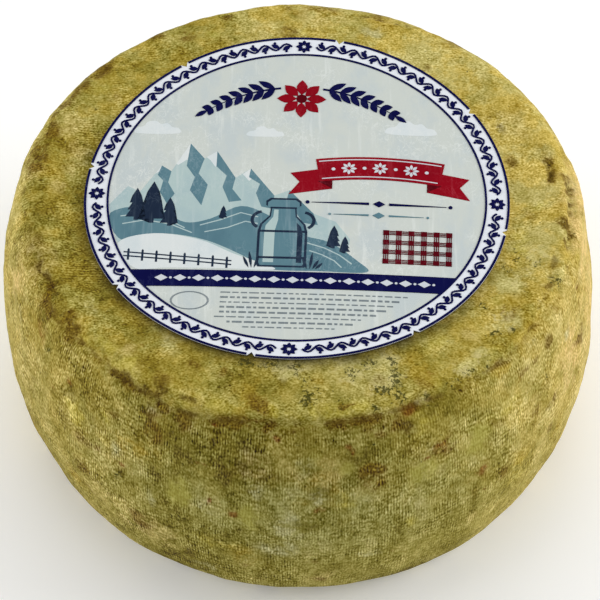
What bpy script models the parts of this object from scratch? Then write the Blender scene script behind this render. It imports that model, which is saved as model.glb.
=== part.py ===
"""A whole pressed goat's milk cheese with a round paper label on its top face.

Metres, +Z up. The origin is the middle of the base, and -Y is the front.
"""

import math
from typing import NamedTuple

import bmesh
import bpy
from mathutils import Vector, noise

COLLECTION_NAME = "goat_cheese"
MERGE_DISTANCE = 0.00002

# Wheel: a barrel-sided disc, widest a little below half its height
WHEEL_RADIUS = 0.1200
WHEEL_HEIGHT = 0.1132
WIDEST_HEIGHT = 0.0542
TOP_EDGE_RADIUS = 0.1128
TOP_FILLET = 0.0105
BASE_EDGE_RADIUS = 0.1128
BASE_FILLET = 0.0123
FILLET_MEETS_SIDE = math.radians(12)

# How finely the turned wheel is divided
WHEEL_COLUMNS = 120
TOP_ROWS = 9
TOP_FILLET_ROWS = 8
SIDE_ROWS = 14
BASE_FILLET_ROWS = 4
BASE_ROWS = 3

# Uneven form of the wheel
OVAL_RISE = 0.0009
OVAL_AZIMUTH = math.radians(-48)
SADDLE_RISE = 0.0021
SADDLE_RADIUS = 0.0850
SADDLE_END = 0.1050
LUMP_SIZE = 0.042
LUMP_RISE = 0.0012
DENT_SIZE = 0.017
DENT_RISE = 0.0007
DENT_SHIFT = Vector((7.3, 2.1, 4.6))
CALM_UNDER_LABEL = 0.3
CALM_RADIUS = 0.0820
BASE_CALM_HEIGHT = 0.0110

# Crease where the top's lip ends and the side begins
CREASE_DROP = 0.0024
CREASE_DROP_AZIMUTH = math.radians(247)
CREASE_DROP_SPREAD = math.radians(14)
CREASE_WIDTH = 0.0017
CREASE_DEPTH = 0.0007
LIP_OFFSET = 0.0040
LIP_WIDTH = 0.0034
LIP_RISE = 0.0006
CREASE_WOBBLE = 0.0012
CREASE_WOBBLE_SIZE = 0.022
CREASE_WEAKEST = 0.35
CREASE_STRONG_WITHIN = math.radians(45)
CREASE_WEAK_BEYOND = math.radians(85)
FRONT_AZIMUTH = math.radians(-90)

# Paper label on the top face
LABEL_RADIUS = 0.0845
LABEL_OFFSET_X = -0.0003
LABEL_OFFSET_Y = 0.0018
LABEL_THICKNESS = 0.0003
LABEL_GAP = 0.0003
LABEL_COLUMNS = 72
LABEL_ROWS = 5
NOTCH_COUNT = 8
NOTCH_AZIMUTH = math.radians(32.9)
NOTCH_DEPTH = 0.0019
NOTCH_MOUTH = 0.0030
NOTCH_WEDGE_RADIUS = 0.0030
NOTCH_WEDGE_DEPTH = 0.0040
SHARP_ANGLE = math.radians(40)

RIND_COLOUR = (0.30, 0.24, 0.075, 1.0)
RIND_ROUGHNESS = 0.75
PAPER_COLOUR = (0.62, 0.67, 0.68, 1.0)
PAPER_ROUGHNESS = 0.45


class Mark(NamedTuple):
    """A hollow or ridge along the top rim: azimuths in degrees, then arc, width and rise in metres."""

    start: float
    end: float
    arc: float
    width: float
    rise: float


RIM_MARKS = (
    Mark(start=5, end=17, arc=-0.0086, width=0.0020, rise=-0.0016),
    Mark(start=-14, end=7, arc=-0.0014, width=0.0020, rise=-0.0018),
    Mark(start=-24, end=-12, arc=-0.0058, width=0.0018, rise=-0.0012),
    Mark(start=-24, end=16, arc=0.0060, width=0.0036, rise=0.0010),
    Mark(start=193, end=208, arc=-0.0046, width=0.0018, rise=-0.0013),
    Mark(start=212, end=221, arc=-0.0030, width=0.0024, rise=-0.0010),
    Mark(start=162, end=170, arc=-0.0040, width=0.0026, rise=-0.0012),
    Mark(start=145, end=154, arc=-0.0005, width=0.0026, rise=-0.0012),
    Mark(start=134, end=143, arc=-0.0045, width=0.0024, rise=-0.0014),
    Mark(start=125, end=133, arc=-0.0048, width=0.0024, rise=-0.0010),
    Mark(start=113, end=121, arc=-0.0084, width=0.0026, rise=-0.0010),
    Mark(start=62, end=78, arc=-0.0040, width=0.0024, rise=-0.0012),
    Mark(start=328, end=338, arc=-0.0036, width=0.0020, rise=-0.0011),
)
MARK_END_FADE = 3.0


def clear_scene():
    """Remove whatever the file held."""
    for old in list(bpy.data.objects):
        bpy.data.objects.remove(old, do_unlink=True)


def smoothstep(low, high, value):
    """Ease from 0 at low to 1 at high."""
    share = min(max((value - low) / (high - low), 0.0), 1.0)
    return share * share * (3.0 - 2.0 * share)


def bell(distance, width):
    """A smooth hump of height 1 and the given half width."""
    return math.exp(-((distance / width) ** 2))


def side_radius(height):
    """Radius of the bulging side at a height above the base."""
    if height > WIDEST_HEIGHT:
        pull = WHEEL_RADIUS - TOP_EDGE_RADIUS
        reach = WHEEL_HEIGHT - TOP_FILLET * (1 - math.sin(FILLET_MEETS_SIDE)) - WIDEST_HEIGHT
    else:
        pull = WHEEL_RADIUS - BASE_EDGE_RADIUS
        reach = WIDEST_HEIGHT - BASE_FILLET * (1 - math.sin(FILLET_MEETS_SIDE))
    return WHEEL_RADIUS - pull * ((height - WIDEST_HEIGHT) / reach) ** 2


def fillet_points(edge_radius, centre_height, fillet, first, last, rows):
    """Points round a rounded edge, from the angle first to the angle last."""
    points = []
    for row in range(rows + 1):
        turn = first + (last - first) * row / rows
        radius = edge_radius - fillet + fillet * math.cos(turn)
        points.append((radius, centre_height + fillet * math.sin(turn)))
    return points


def wheel_profile():
    """Half section of the wheel, from the top's centre over the rim and down to the base's centre."""
    top_flat = TOP_EDGE_RADIUS - TOP_FILLET
    base_flat = BASE_EDGE_RADIUS - BASE_FILLET
    quarter = math.pi / 2
    points = []
    for row in range(TOP_ROWS):
        left = 1 - row / TOP_ROWS
        points.append((top_flat * (1 - left * left), WHEEL_HEIGHT))
    top_centre = WHEEL_HEIGHT - TOP_FILLET
    points += fillet_points(
        TOP_EDGE_RADIUS, top_centre, TOP_FILLET, quarter, FILLET_MEETS_SIDE, TOP_FILLET_ROWS
    )
    side_top = points[-1][1]
    side_base = BASE_FILLET * (1 - math.sin(FILLET_MEETS_SIDE))
    for row in range(1, SIDE_ROWS):
        height = side_top + (side_base - side_top) * row / SIDE_ROWS
        points.append((side_radius(height), height))
    points += fillet_points(
        BASE_EDGE_RADIUS, BASE_FILLET, BASE_FILLET, -FILLET_MEETS_SIDE, -quarter, BASE_FILLET_ROWS
    )
    for row in range(1, BASE_ROWS + 1):
        points.append((base_flat * (1 - row / BASE_ROWS), 0.0))
    return points


def rim_arc(radius, height):
    """Distance along the section from the middle of the top fillet, positive down the side."""
    centre_radius = TOP_EDGE_RADIUS - TOP_FILLET
    centre_height = WHEEL_HEIGHT - TOP_FILLET
    quarter = math.pi / 2
    if radius < centre_radius:
        return -TOP_FILLET * quarter / 2 - (centre_radius - radius)
    if height < centre_height:
        return TOP_FILLET * quarter / 2 + (centre_height - height)
    turn = math.atan2(height - centre_height, radius - centre_radius)
    return TOP_FILLET * (quarter / 2 - turn)


def azimuth_gap(azimuth, other):
    """Signed turn from one azimuth to another, the short way round."""
    return math.remainder(azimuth - other, math.tau)


def crease_relief(azimuth, arc, point):
    """Lip round the top with the crease outside it, strongest at the front."""
    off_front = abs(azimuth_gap(azimuth, FRONT_AZIMUTH))
    frontness = smoothstep(CREASE_WEAK_BEYOND, CREASE_STRONG_WITHIN, off_front)
    strength = CREASE_WEAKEST + (1 - CREASE_WEAKEST) * frontness
    line = CREASE_WOBBLE * noise.noise(point / CREASE_WOBBLE_SIZE)
    line += CREASE_DROP * bell(azimuth_gap(azimuth, CREASE_DROP_AZIMUTH), CREASE_DROP_SPREAD)
    groove = CREASE_DEPTH * bell(arc - line, CREASE_WIDTH)
    lip = LIP_RISE * bell(arc - line + LIP_OFFSET, LIP_WIDTH)
    return strength * (lip - groove)


def mark_relief(azimuth, arc):
    """Crevices, pits and ridges along the rim."""
    rise = 0.0
    for mark in RIM_MARKS:
        middle = math.radians((mark.start + mark.end) / 2)
        half = (mark.end - mark.start) / 2
        away = abs(math.degrees(azimuth_gap(azimuth, middle)))
        along = smoothstep(half, half - MARK_END_FADE, away)
        rise += mark.rise * along * bell(arc - mark.arc, mark.width)
    return rise


def relief(point):
    """How far the rind stands out of the turned shape at a point of it."""
    azimuth = math.atan2(point.y, point.x)
    radius = math.hypot(point.x, point.y)
    arc = rim_arc(radius, point.z)
    lumps = LUMP_RISE * noise.noise(point / LUMP_SIZE)
    lumps += DENT_RISE * noise.noise(point / DENT_SIZE + DENT_SHIFT)
    lumps *= CALM_UNDER_LABEL + (1 - CALM_UNDER_LABEL) * smoothstep(CALM_RADIUS, SADDLE_END, radius)
    rise = lumps + crease_relief(azimuth, arc, point) + mark_relief(azimuth, arc)
    return rise * smoothstep(0.0, BASE_CALM_HEIGHT, point.z)


def saddle(x, y):
    """Height of the top face over its mean: low at the left and right, high at the front and back."""
    radius = math.hypot(x, y)
    fade = 1 - smoothstep(SADDLE_RADIUS, SADDLE_END, radius)
    return SADDLE_RISE * (y * y - x * x) / SADDLE_RADIUS**2 * fade


def oval(point):
    """Sideways shift that makes the wheel slightly oval, none at the axis."""
    radius = math.hypot(point.x, point.y)
    azimuth = math.atan2(point.y, point.x)
    stretch = OVAL_RISE * math.cos(2 * (azimuth - OVAL_AZIMUTH)) * radius / WHEEL_RADIUS
    return Vector((math.cos(azimuth) * stretch, math.sin(azimuth) * stretch, 0.0))


def top_shift(x, y):
    """Height that the uneven top face adds at a place well inside the rim."""
    return saddle(x, y) + relief(Vector((x, y, WHEEL_HEIGHT)))


def turned_mesh(name, points, columns):
    """A closed profile turned about the Z axis by a Screw modifier."""
    profile = bpy.data.meshes.new(name + "_profile")
    edges = [(index, index + 1) for index in range(len(points) - 1)]
    profile.from_pydata([(radius, 0.0, height) for radius, height in points], edges, [])
    turning = bpy.data.objects.new(name + "_profile", profile)
    bpy.context.scene.collection.objects.link(turning)
    screw = turning.modifiers.new("Turn", "SCREW")
    screw.steps = columns
    screw.render_steps = columns
    screw.use_merge_vertices = True
    screw.merge_threshold = MERGE_DISTANCE
    screw.use_normal_calculate = True
    bpy.context.view_layer.update()
    evaluated = turning.evaluated_get(bpy.context.evaluated_depsgraph_get())
    mesh = bpy.data.meshes.new_from_object(evaluated)
    bpy.data.objects.remove(turning, do_unlink=True)
    bpy.data.meshes.remove(profile)
    return mesh


def face_outwards(mesh):
    """Weld a mesh, turn its faces outwards and shade it smooth."""
    solid = bmesh.new()
    solid.from_mesh(mesh)
    bmesh.ops.remove_doubles(solid, verts=solid.verts, dist=MERGE_DISTANCE)
    bmesh.ops.recalc_face_normals(solid, faces=solid.faces)
    solid.to_mesh(mesh)
    solid.free()
    mesh.shade_smooth()


def plain_material(name, colour, roughness):
    """A Principled material of one colour."""
    material = bpy.data.materials.new(name)
    material.use_nodes = True
    shader = material.node_tree.nodes["Principled BSDF"]
    shader.inputs["Base Color"].default_value = colour
    shader.inputs["Roughness"].default_value = roughness
    shader.inputs["Metallic"].default_value = 0.0
    return material


def place(name, mesh, material, collection):
    """Put a finished mesh in the collection under its node's name."""
    mesh.name = name
    mesh.materials.clear()
    mesh.materials.append(material)
    collection.objects.link(bpy.data.objects.new(name, mesh))


def build_wheel(collection):
    """The cheese itself: the turned wheel, made uneven by its relief."""
    mesh = turned_mesh("cheese_wheel", wheel_profile(), WHEEL_COLUMNS)
    face_outwards(mesh)
    outward = [vertex.normal.copy() for vertex in mesh.vertices]
    for vertex, normal in zip(mesh.vertices, outward):
        start = vertex.co.copy()
        vertex.co = start + normal * relief(start) + oval(start)
        if start.z > WIDEST_HEIGHT:
            vertex.co.z += saddle(start.x, start.y)
    mesh.update()
    place("cheese_wheel", mesh, plain_material("rind", RIND_COLOUR, RIND_ROUGHNESS), collection)


def notch_wedges():
    """Upright wedges round the label's edge, each with its point towards the label's centre."""
    cutters = bpy.data.collections.new("label_notch_cutters")
    bpy.context.scene.collection.children.link(cutters)
    widening = NOTCH_MOUTH / (2 * NOTCH_DEPTH * math.tan(math.radians(30)))
    middle = LABEL_RADIUS - NOTCH_DEPTH + NOTCH_WEDGE_RADIUS
    for index in range(NOTCH_COUNT):
        azimuth = NOTCH_AZIMUTH + index * math.tau / NOTCH_COUNT
        bpy.ops.mesh.primitive_cylinder_add(
            vertices=3,
            radius=NOTCH_WEDGE_RADIUS,
            depth=NOTCH_WEDGE_DEPTH,
            location=(middle * math.cos(azimuth), middle * math.sin(azimuth), 0.0),
            rotation=(0.0, 0.0, azimuth + math.pi / 2),
            scale=(widening, 1.0, 1.0),
        )
        wedge = bpy.context.object
        wedge.hide_render = True
        wedge.display_type = "WIRE"
        for holder in list(wedge.users_collection):
            holder.objects.unlink(wedge)
        cutters.objects.link(wedge)
    return cutters


def notched_mesh(mesh):
    """The mesh with its notches cut, as triangles."""
    blank = bpy.data.objects.new("label_blank", mesh)
    bpy.context.scene.collection.objects.link(blank)
    cutters = notch_wedges()
    cut = blank.modifiers.new("Notches", "BOOLEAN")
    cut.operation = "DIFFERENCE"
    cut.solver = "EXACT"
    cut.operand_type = "COLLECTION"
    cut.collection = cutters
    bpy.context.view_layer.update()
    evaluated = blank.evaluated_get(bpy.context.evaluated_depsgraph_get())
    notched = bpy.data.meshes.new_from_object(evaluated)
    for used in [blank, *cutters.objects]:
        bpy.data.objects.remove(used, do_unlink=True)
    bpy.data.collections.remove(cutters)
    solid = bmesh.new()
    solid.from_mesh(notched)
    bmesh.ops.triangulate(solid, faces=solid.faces)
    solid.to_mesh(notched)
    solid.free()
    return notched


def build_label(collection):
    """The paper label: a thin disc with small notches, lying on the uneven top face."""
    points = [(LABEL_RADIUS * row / LABEL_ROWS, LABEL_THICKNESS) for row in range(LABEL_ROWS + 1)]
    points += [(radius, 0.0) for radius, _ in reversed(points)]
    blank = turned_mesh("label_disc", points, LABEL_COLUMNS)
    face_outwards(blank)
    mesh = notched_mesh(blank)
    for vertex in mesh.vertices:
        vertex.co.x += LABEL_OFFSET_X
        vertex.co.y += LABEL_OFFSET_Y
        vertex.co.z += WHEEL_HEIGHT + LABEL_GAP + top_shift(vertex.co.x, vertex.co.y)
    mesh.update()
    mesh.shade_smooth()
    mesh.set_sharp_from_angle(angle=SHARP_ANGLE)
    place("paper_label", mesh, plain_material("label_paper", PAPER_COLOUR, PAPER_ROUGHNESS), collection)


def main():
    """Build the cheese in its own collection."""
    clear_scene()
    collection = bpy.data.collections.new(COLLECTION_NAME)
    bpy.context.scene.collection.children.link(collection)
    build_wheel(collection)
    build_label(collection)


main()
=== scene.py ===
"""Looks of a whole pressed goat's milk cheese: its mottled, cloth-marked rind and its round printed label.

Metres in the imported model's frame: +Z up, the middle of the base at the origin, -Y towards the front.
Azimuths turn from +X towards +Y. An arc is a distance along the wheel's section from the middle of the
top fillet, positive down the side.
"""

import logging
import math
import random
from dataclasses import dataclass, field
from enum import Enum
from typing import Iterable, Sequence

import bmesh
import bpy
import numpy as np
from mathutils import Matrix, Vector, noise


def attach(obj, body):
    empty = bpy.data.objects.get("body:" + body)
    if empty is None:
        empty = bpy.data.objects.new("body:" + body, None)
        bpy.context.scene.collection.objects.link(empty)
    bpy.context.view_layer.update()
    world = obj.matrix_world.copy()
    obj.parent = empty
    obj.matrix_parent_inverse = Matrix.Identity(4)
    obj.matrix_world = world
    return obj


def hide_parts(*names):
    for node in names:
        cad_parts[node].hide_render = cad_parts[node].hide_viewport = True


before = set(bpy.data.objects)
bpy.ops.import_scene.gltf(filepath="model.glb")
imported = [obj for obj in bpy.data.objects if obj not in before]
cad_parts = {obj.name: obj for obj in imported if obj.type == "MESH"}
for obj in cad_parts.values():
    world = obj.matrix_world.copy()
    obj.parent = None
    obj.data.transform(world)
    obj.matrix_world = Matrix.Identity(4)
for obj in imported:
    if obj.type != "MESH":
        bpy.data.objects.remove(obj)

LOG = logging.getLogger("goat_cheese")
MM = 0.001
QUARTER = math.pi / 2
Point2 = tuple[float, float]
Triple = tuple[float, float, float]
Outline = list[Point2]
Pair = tuple[float, float]
Swell = tuple[float, Triple]
Painted = dict[str, np.ndarray]
Colour = tuple[float, float, float, float]
Socket = bpy.types.NodeSocket
Feed = Socket | float | Sequence[float]


def screen(red: int, green: int, blue: int) -> Colour:
    """Turn a screen colour of 0 to 255 into the linear colour that shaders take."""
    shares = [value / 255 for value in (red, green, blue)]
    return (*(s / 12.92 if s <= 0.04045 else ((s + 0.055) / 1.055) ** 2.4 for s in shares), 1.0)


def smoothstep(low: float, high: float, value: np.ndarray) -> np.ndarray:
    """Ease from 0 to 1 as each value goes from low to high."""
    share = np.clip((value - low) / (high - low), 0.0, 1.0)
    return share * share * (3.0 - 2.0 * share)


def bell(distance: np.ndarray, width: float) -> np.ndarray:
    """A smooth hump of height 1 and the given half width, at each distance."""
    return np.exp(-((distance / width) ** 2))


def polar(points: np.ndarray) -> tuple[np.ndarray, np.ndarray]:
    """Azimuth of each point in radians, and its distance from the axis."""
    return np.arctan2(points[:, 1], points[:, 0]), np.hypot(points[:, 0], points[:, 1])


def on_arc(radius: float, degrees: float, centre: Point2 = (0.0, 0.0)) -> Point2:
    """The point of a circle at an angle."""
    turn = math.radians(degrees)
    return (centre[0] + radius * math.cos(turn), centre[1] + radius * math.sin(turn))


def arc_points(radius: float, start: float, end: float, steps: int, centre: Point2 = (0.0, 0.0)) -> Outline:
    """Points along a round arc between two angles in degrees, both ends among them."""
    return [on_arc(radius, start + (end - start) * step / steps, centre) for step in range(steps + 1)]


def azimuth_gap(azimuth: np.ndarray, degrees: float) -> np.ndarray:
    """Signed turn in radians to azimuths in radians from one in degrees, the short way round."""
    return (azimuth - math.radians(degrees) + math.pi) % math.tau - math.pi


def facing(azimuth: np.ndarray, degrees: float, within: float, beyond: float) -> np.ndarray:
    """1 within some degrees of an azimuth, easing to 0 beyond some others."""
    away = np.degrees(np.abs(azimuth_gap(azimuth, degrees)))
    return 1 - smoothstep(within, beyond, away)


def perlin(points: np.ndarray, size: float, shift: Triple = (0.0, 0.0, 0.0)) -> np.ndarray:
    """Smooth noise of about -1 to 1, with swells of a size in metres, read at a shift."""
    places = points / size + np.array(shift)
    return np.fromiter((noise.noise(Vector(place)) for place in places), float, len(places))


def read_points(mesh: bpy.types.Mesh, what: str = "co") -> np.ndarray:
    """Read a vector of every point of a mesh.

    Args:
        mesh: The mesh.
        what: Name of the vector, the place unless another is given.

    Returns:
        One vector in each row.
    """
    values = np.empty(len(mesh.vertices) * 3, np.float32)
    mesh.vertices.foreach_get(what, values)
    return values.reshape(-1, 3).astype(float)


def write_points(mesh: bpy.types.Mesh, points: np.ndarray) -> None:
    """Move the points of a mesh to their new places."""
    mesh.vertices.foreach_set("co", points.astype(np.float32).ravel())
    mesh.update()


def add_object(name: str, data: bpy.types.ID) -> bpy.types.Object:
    """Add an object to the scene.

    Args:
        name: Its name.
        data: Its mesh, light or camera.

    Returns:
        The object, at the origin.
    """
    made = bpy.data.objects.new(name, data)
    bpy.context.scene.collection.objects.link(made)
    return made


def spun(section: Sequence[Point2], columns: int, merge: float) -> bmesh.types.BMesh:
    """Spin a half section round the axis into a closed shape.

    Args:
        section: Distance from the axis and height of each point, from one pole to the other.
        columns: Divisions round the axis.
        merge: Points closer than this become one.

    Returns:
        The shape, with its faces outwards.
    """
    shape = bmesh.new()
    line = [shape.verts.new((radius, 0.0, height)) for radius, height in section]
    for upper, lower in zip(line, line[1:]):
        shape.edges.new((upper, lower))
    bmesh.ops.spin(shape, geom=shape.verts[:] + shape.edges[:], cent=(0, 0, 0), axis=(0, 0, 1),
                   angle=math.tau, steps=columns, use_merge=True)
    bmesh.ops.remove_doubles(shape, verts=shape.verts, dist=merge)
    bmesh.ops.recalc_face_normals(shape, faces=shape.faces)
    return shape


@dataclass(frozen=True)
class RimMark:
    """A hollow or ridge along the top rim.

    Attributes:
        start: Azimuth in degrees where it starts.
        end: Azimuth in degrees where it ends.
        arc: Its arc.
        width: Half width across its line.
        rise: How far it stands out, negative for a hollow.
        fade: Degrees over which each end fades.
    """

    start: float
    end: float
    arc: float
    width: float
    rise: float
    fade: float = 3.0

    def shape(self, azimuth: np.ndarray, arc: np.ndarray) -> np.ndarray:
        """How much of the mark is felt at each azimuth and arc, from 0 to 1."""
        half = (self.end - self.start) / 2
        return facing(azimuth, self.start + half, half - self.fade, half) * bell(arc - self.arc, self.width)


@dataclass(frozen=True)
class WheelForm:
    """Sizes and uneven form of the wheel, as its solid has them.

    The side bulges to its widest between two fillets. The top face is a saddle, and lumps and dents lie
    all over, calmer under the label. A crease with a lip above it runs along the top rim, strongest at
    the front. A field that ends in azimuth, spread, within or beyond is in degrees.
    """

    radius: float = 0.1200
    height: float = 0.1132
    widest: float = 0.0542
    top_edge: float = 0.1128
    top_fillet: float = 0.0105
    base_edge: float = 0.1128
    base_fillet: float = 0.0123
    fillet_meets_side: float = math.radians(12)
    oval_rise: float = 0.0009
    oval_azimuth: float = -48
    saddle_rise: float = 0.0021
    saddle_radius: float = 0.0850
    saddle_end: float = 0.1050
    lump_size: float = 0.042
    lump_rise: float = 0.0012
    dent_size: float = 0.017
    dent_rise: float = 0.0007
    dent_shift: Triple = (7.3, 2.1, 4.6)
    calm_under_label: float = 0.3
    calm_radius: float = 0.0820
    base_calm_height: float = 0.0110
    crease_drop: float = 0.0024
    crease_drop_azimuth: float = 247
    crease_drop_spread: float = 14
    crease_width: float = 0.0017
    crease_depth: float = 0.0007
    crease_wobble: float = 0.0012
    crease_wobble_size: float = 0.022
    crease_weakest: float = 0.35
    crease_azimuth: float = -90
    crease_strong_within: float = 45
    crease_weak_beyond: float = 85
    lip_offset: float = 0.0040
    lip_width: float = 0.0034
    lip_rise: float = 0.0006
    label_radius: float = 0.0845
    label_centre: Point2 = (-0.0003, 0.0018)
    marks: tuple[RimMark, ...] = (
        RimMark(5, 17, -0.0086, 0.0020, -0.0016),
        RimMark(-14, 7, -0.0014, 0.0020, -0.0018),
        RimMark(-24, -12, -0.0058, 0.0018, -0.0012),
        RimMark(-24, 16, 0.0060, 0.0036, 0.0010),
        RimMark(193, 208, -0.0046, 0.0018, -0.0013),
        RimMark(212, 221, -0.0030, 0.0024, -0.0010),
        RimMark(162, 170, -0.0040, 0.0026, -0.0012),
        RimMark(145, 154, -0.0005, 0.0026, -0.0012),
        RimMark(134, 143, -0.0045, 0.0024, -0.0014),
        RimMark(125, 133, -0.0048, 0.0024, -0.0010),
        RimMark(113, 121, -0.0084, 0.0026, -0.0010),
        RimMark(62, 78, -0.0040, 0.0024, -0.0012),
        RimMark(328, 338, -0.0036, 0.0020, -0.0011),
    )

    def side_radius(self, height: float) -> float:
        """Radius of the bulging side.

        Args:
            height: Height above the base.

        Returns:
            The distance from the axis.
        """
        blend = 1 - math.sin(self.fillet_meets_side)
        if height > self.widest:
            pull, reach = self.radius - self.top_edge, self.height - self.top_fillet * blend - self.widest
        else:
            pull, reach = self.radius - self.base_edge, self.widest - self.base_fillet * blend
        return self.radius - pull * ((height - self.widest) / reach) ** 2

    def arc_at(self, points: np.ndarray) -> np.ndarray:
        """Find how far along the section each point lies.

        Args:
            points: Places on the turned shape, one in each row.

        Returns:
            The arc of each.
        """
        radius, height = polar(points)[1], points[:, 2]
        centre_radius = self.top_edge - self.top_fillet
        centre_height = self.height - self.top_fillet
        half = self.top_fillet * QUARTER / 2
        turn = np.arctan2(height - centre_height, radius - centre_radius)
        on_fillet = self.top_fillet * (QUARTER / 2 - turn)
        on_side = half + (centre_height - height)
        on_top = -half - (centre_radius - radius)
        return np.where(radius < centre_radius, on_top, np.where(height < centre_height, on_side, on_fillet))

    def crease_line(self, points: np.ndarray) -> np.ndarray:
        """Find the arc at which the crease runs.

        Args:
            points: Places on the turned shape, one in each row.

        Returns:
            One arc for each place.
        """
        off_drop = azimuth_gap(polar(points)[0], self.crease_drop_azimuth)
        drop = self.crease_drop * bell(off_drop, math.radians(self.crease_drop_spread))
        return self.crease_wobble * perlin(points, self.crease_wobble_size) + drop

    def crease_strength(self, azimuth: np.ndarray) -> np.ndarray:
        """How strong the crease is: all of it at the front, less towards the back."""
        front = facing(azimuth, self.crease_azimuth, self.crease_strong_within, self.crease_weak_beyond)
        return self.crease_weakest + (1 - self.crease_weakest) * front

    def off_label(self, points: np.ndarray) -> np.ndarray:
        """How far outside the label each point lies."""
        return np.hypot(*(points[:, :2] - self.label_centre).T) - self.label_radius

    def calm(self, radius: np.ndarray) -> np.ndarray:
        """How much of the lumps is left at each distance from the axis."""
        bare = smoothstep(self.calm_radius, self.saddle_end, radius)
        return self.calm_under_label + (1 - self.calm_under_label) * bare

    def relief(self, points: np.ndarray) -> np.ndarray:
        """Find how far the rind stands out of the turned shape.

        Args:
            points: Places on the turned shape, one in each row.

        Returns:
            One distance for each place.
        """
        azimuth, radius = polar(points)
        arc = self.arc_at(points)
        rise = self.lump_rise * perlin(points, self.lump_size)
        rise += self.dent_rise * perlin(points, self.dent_size, self.dent_shift)
        rise *= self.calm(radius)
        off_crease = arc - self.crease_line(points)
        crease = self.lip_rise * bell(off_crease + self.lip_offset, self.lip_width)
        crease -= self.crease_depth * bell(off_crease, self.crease_width)
        rise += crease * self.crease_strength(azimuth)
        for mark in self.marks:
            rise += mark.rise * mark.shape(azimuth, arc)
        return rise * smoothstep(0.0, self.base_calm_height, points[:, 2])

    def saddle(self, points: np.ndarray) -> np.ndarray:
        """Find the height of the top face over its mean: low at the left and right, high at front and back.

        Args:
            points: Places on the top face, X and Y first in each row.

        Returns:
            One height for each place.
        """
        x, y = points[:, 0], points[:, 1]
        fade = 1 - smoothstep(self.saddle_radius, self.saddle_end, np.hypot(x, y))
        return self.saddle_rise * (y * y - x * x) / self.saddle_radius**2 * fade

    def oval(self, points: np.ndarray) -> np.ndarray:
        """Find the sideways shift that makes the wheel slightly oval, none at the axis.

        Args:
            points: Places on the turned shape, one in each row.

        Returns:
            One shift for each place.
        """
        azimuth, radius = polar(points)
        stretch = self.oval_rise * np.cos(2 * azimuth_gap(azimuth, self.oval_azimuth)) * radius / self.radius
        return np.stack([np.cos(azimuth) * stretch, np.sin(azimuth) * stretch, np.zeros_like(stretch)], 1)

    def label_bed(self, places: np.ndarray) -> np.ndarray:
        """Find the top face that a label rests on, without the dents that paper bridges.

        Args:
            places: Places on the top face well inside the rim, X and Y in each row.

        Returns:
            One height for each place.
        """
        flat = np.column_stack([places, np.full(len(places), self.height)])
        lumps = self.lump_rise * perlin(flat, self.lump_size) * self.calm(polar(flat)[1])
        return self.height + self.saddle(flat) + lumps


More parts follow.
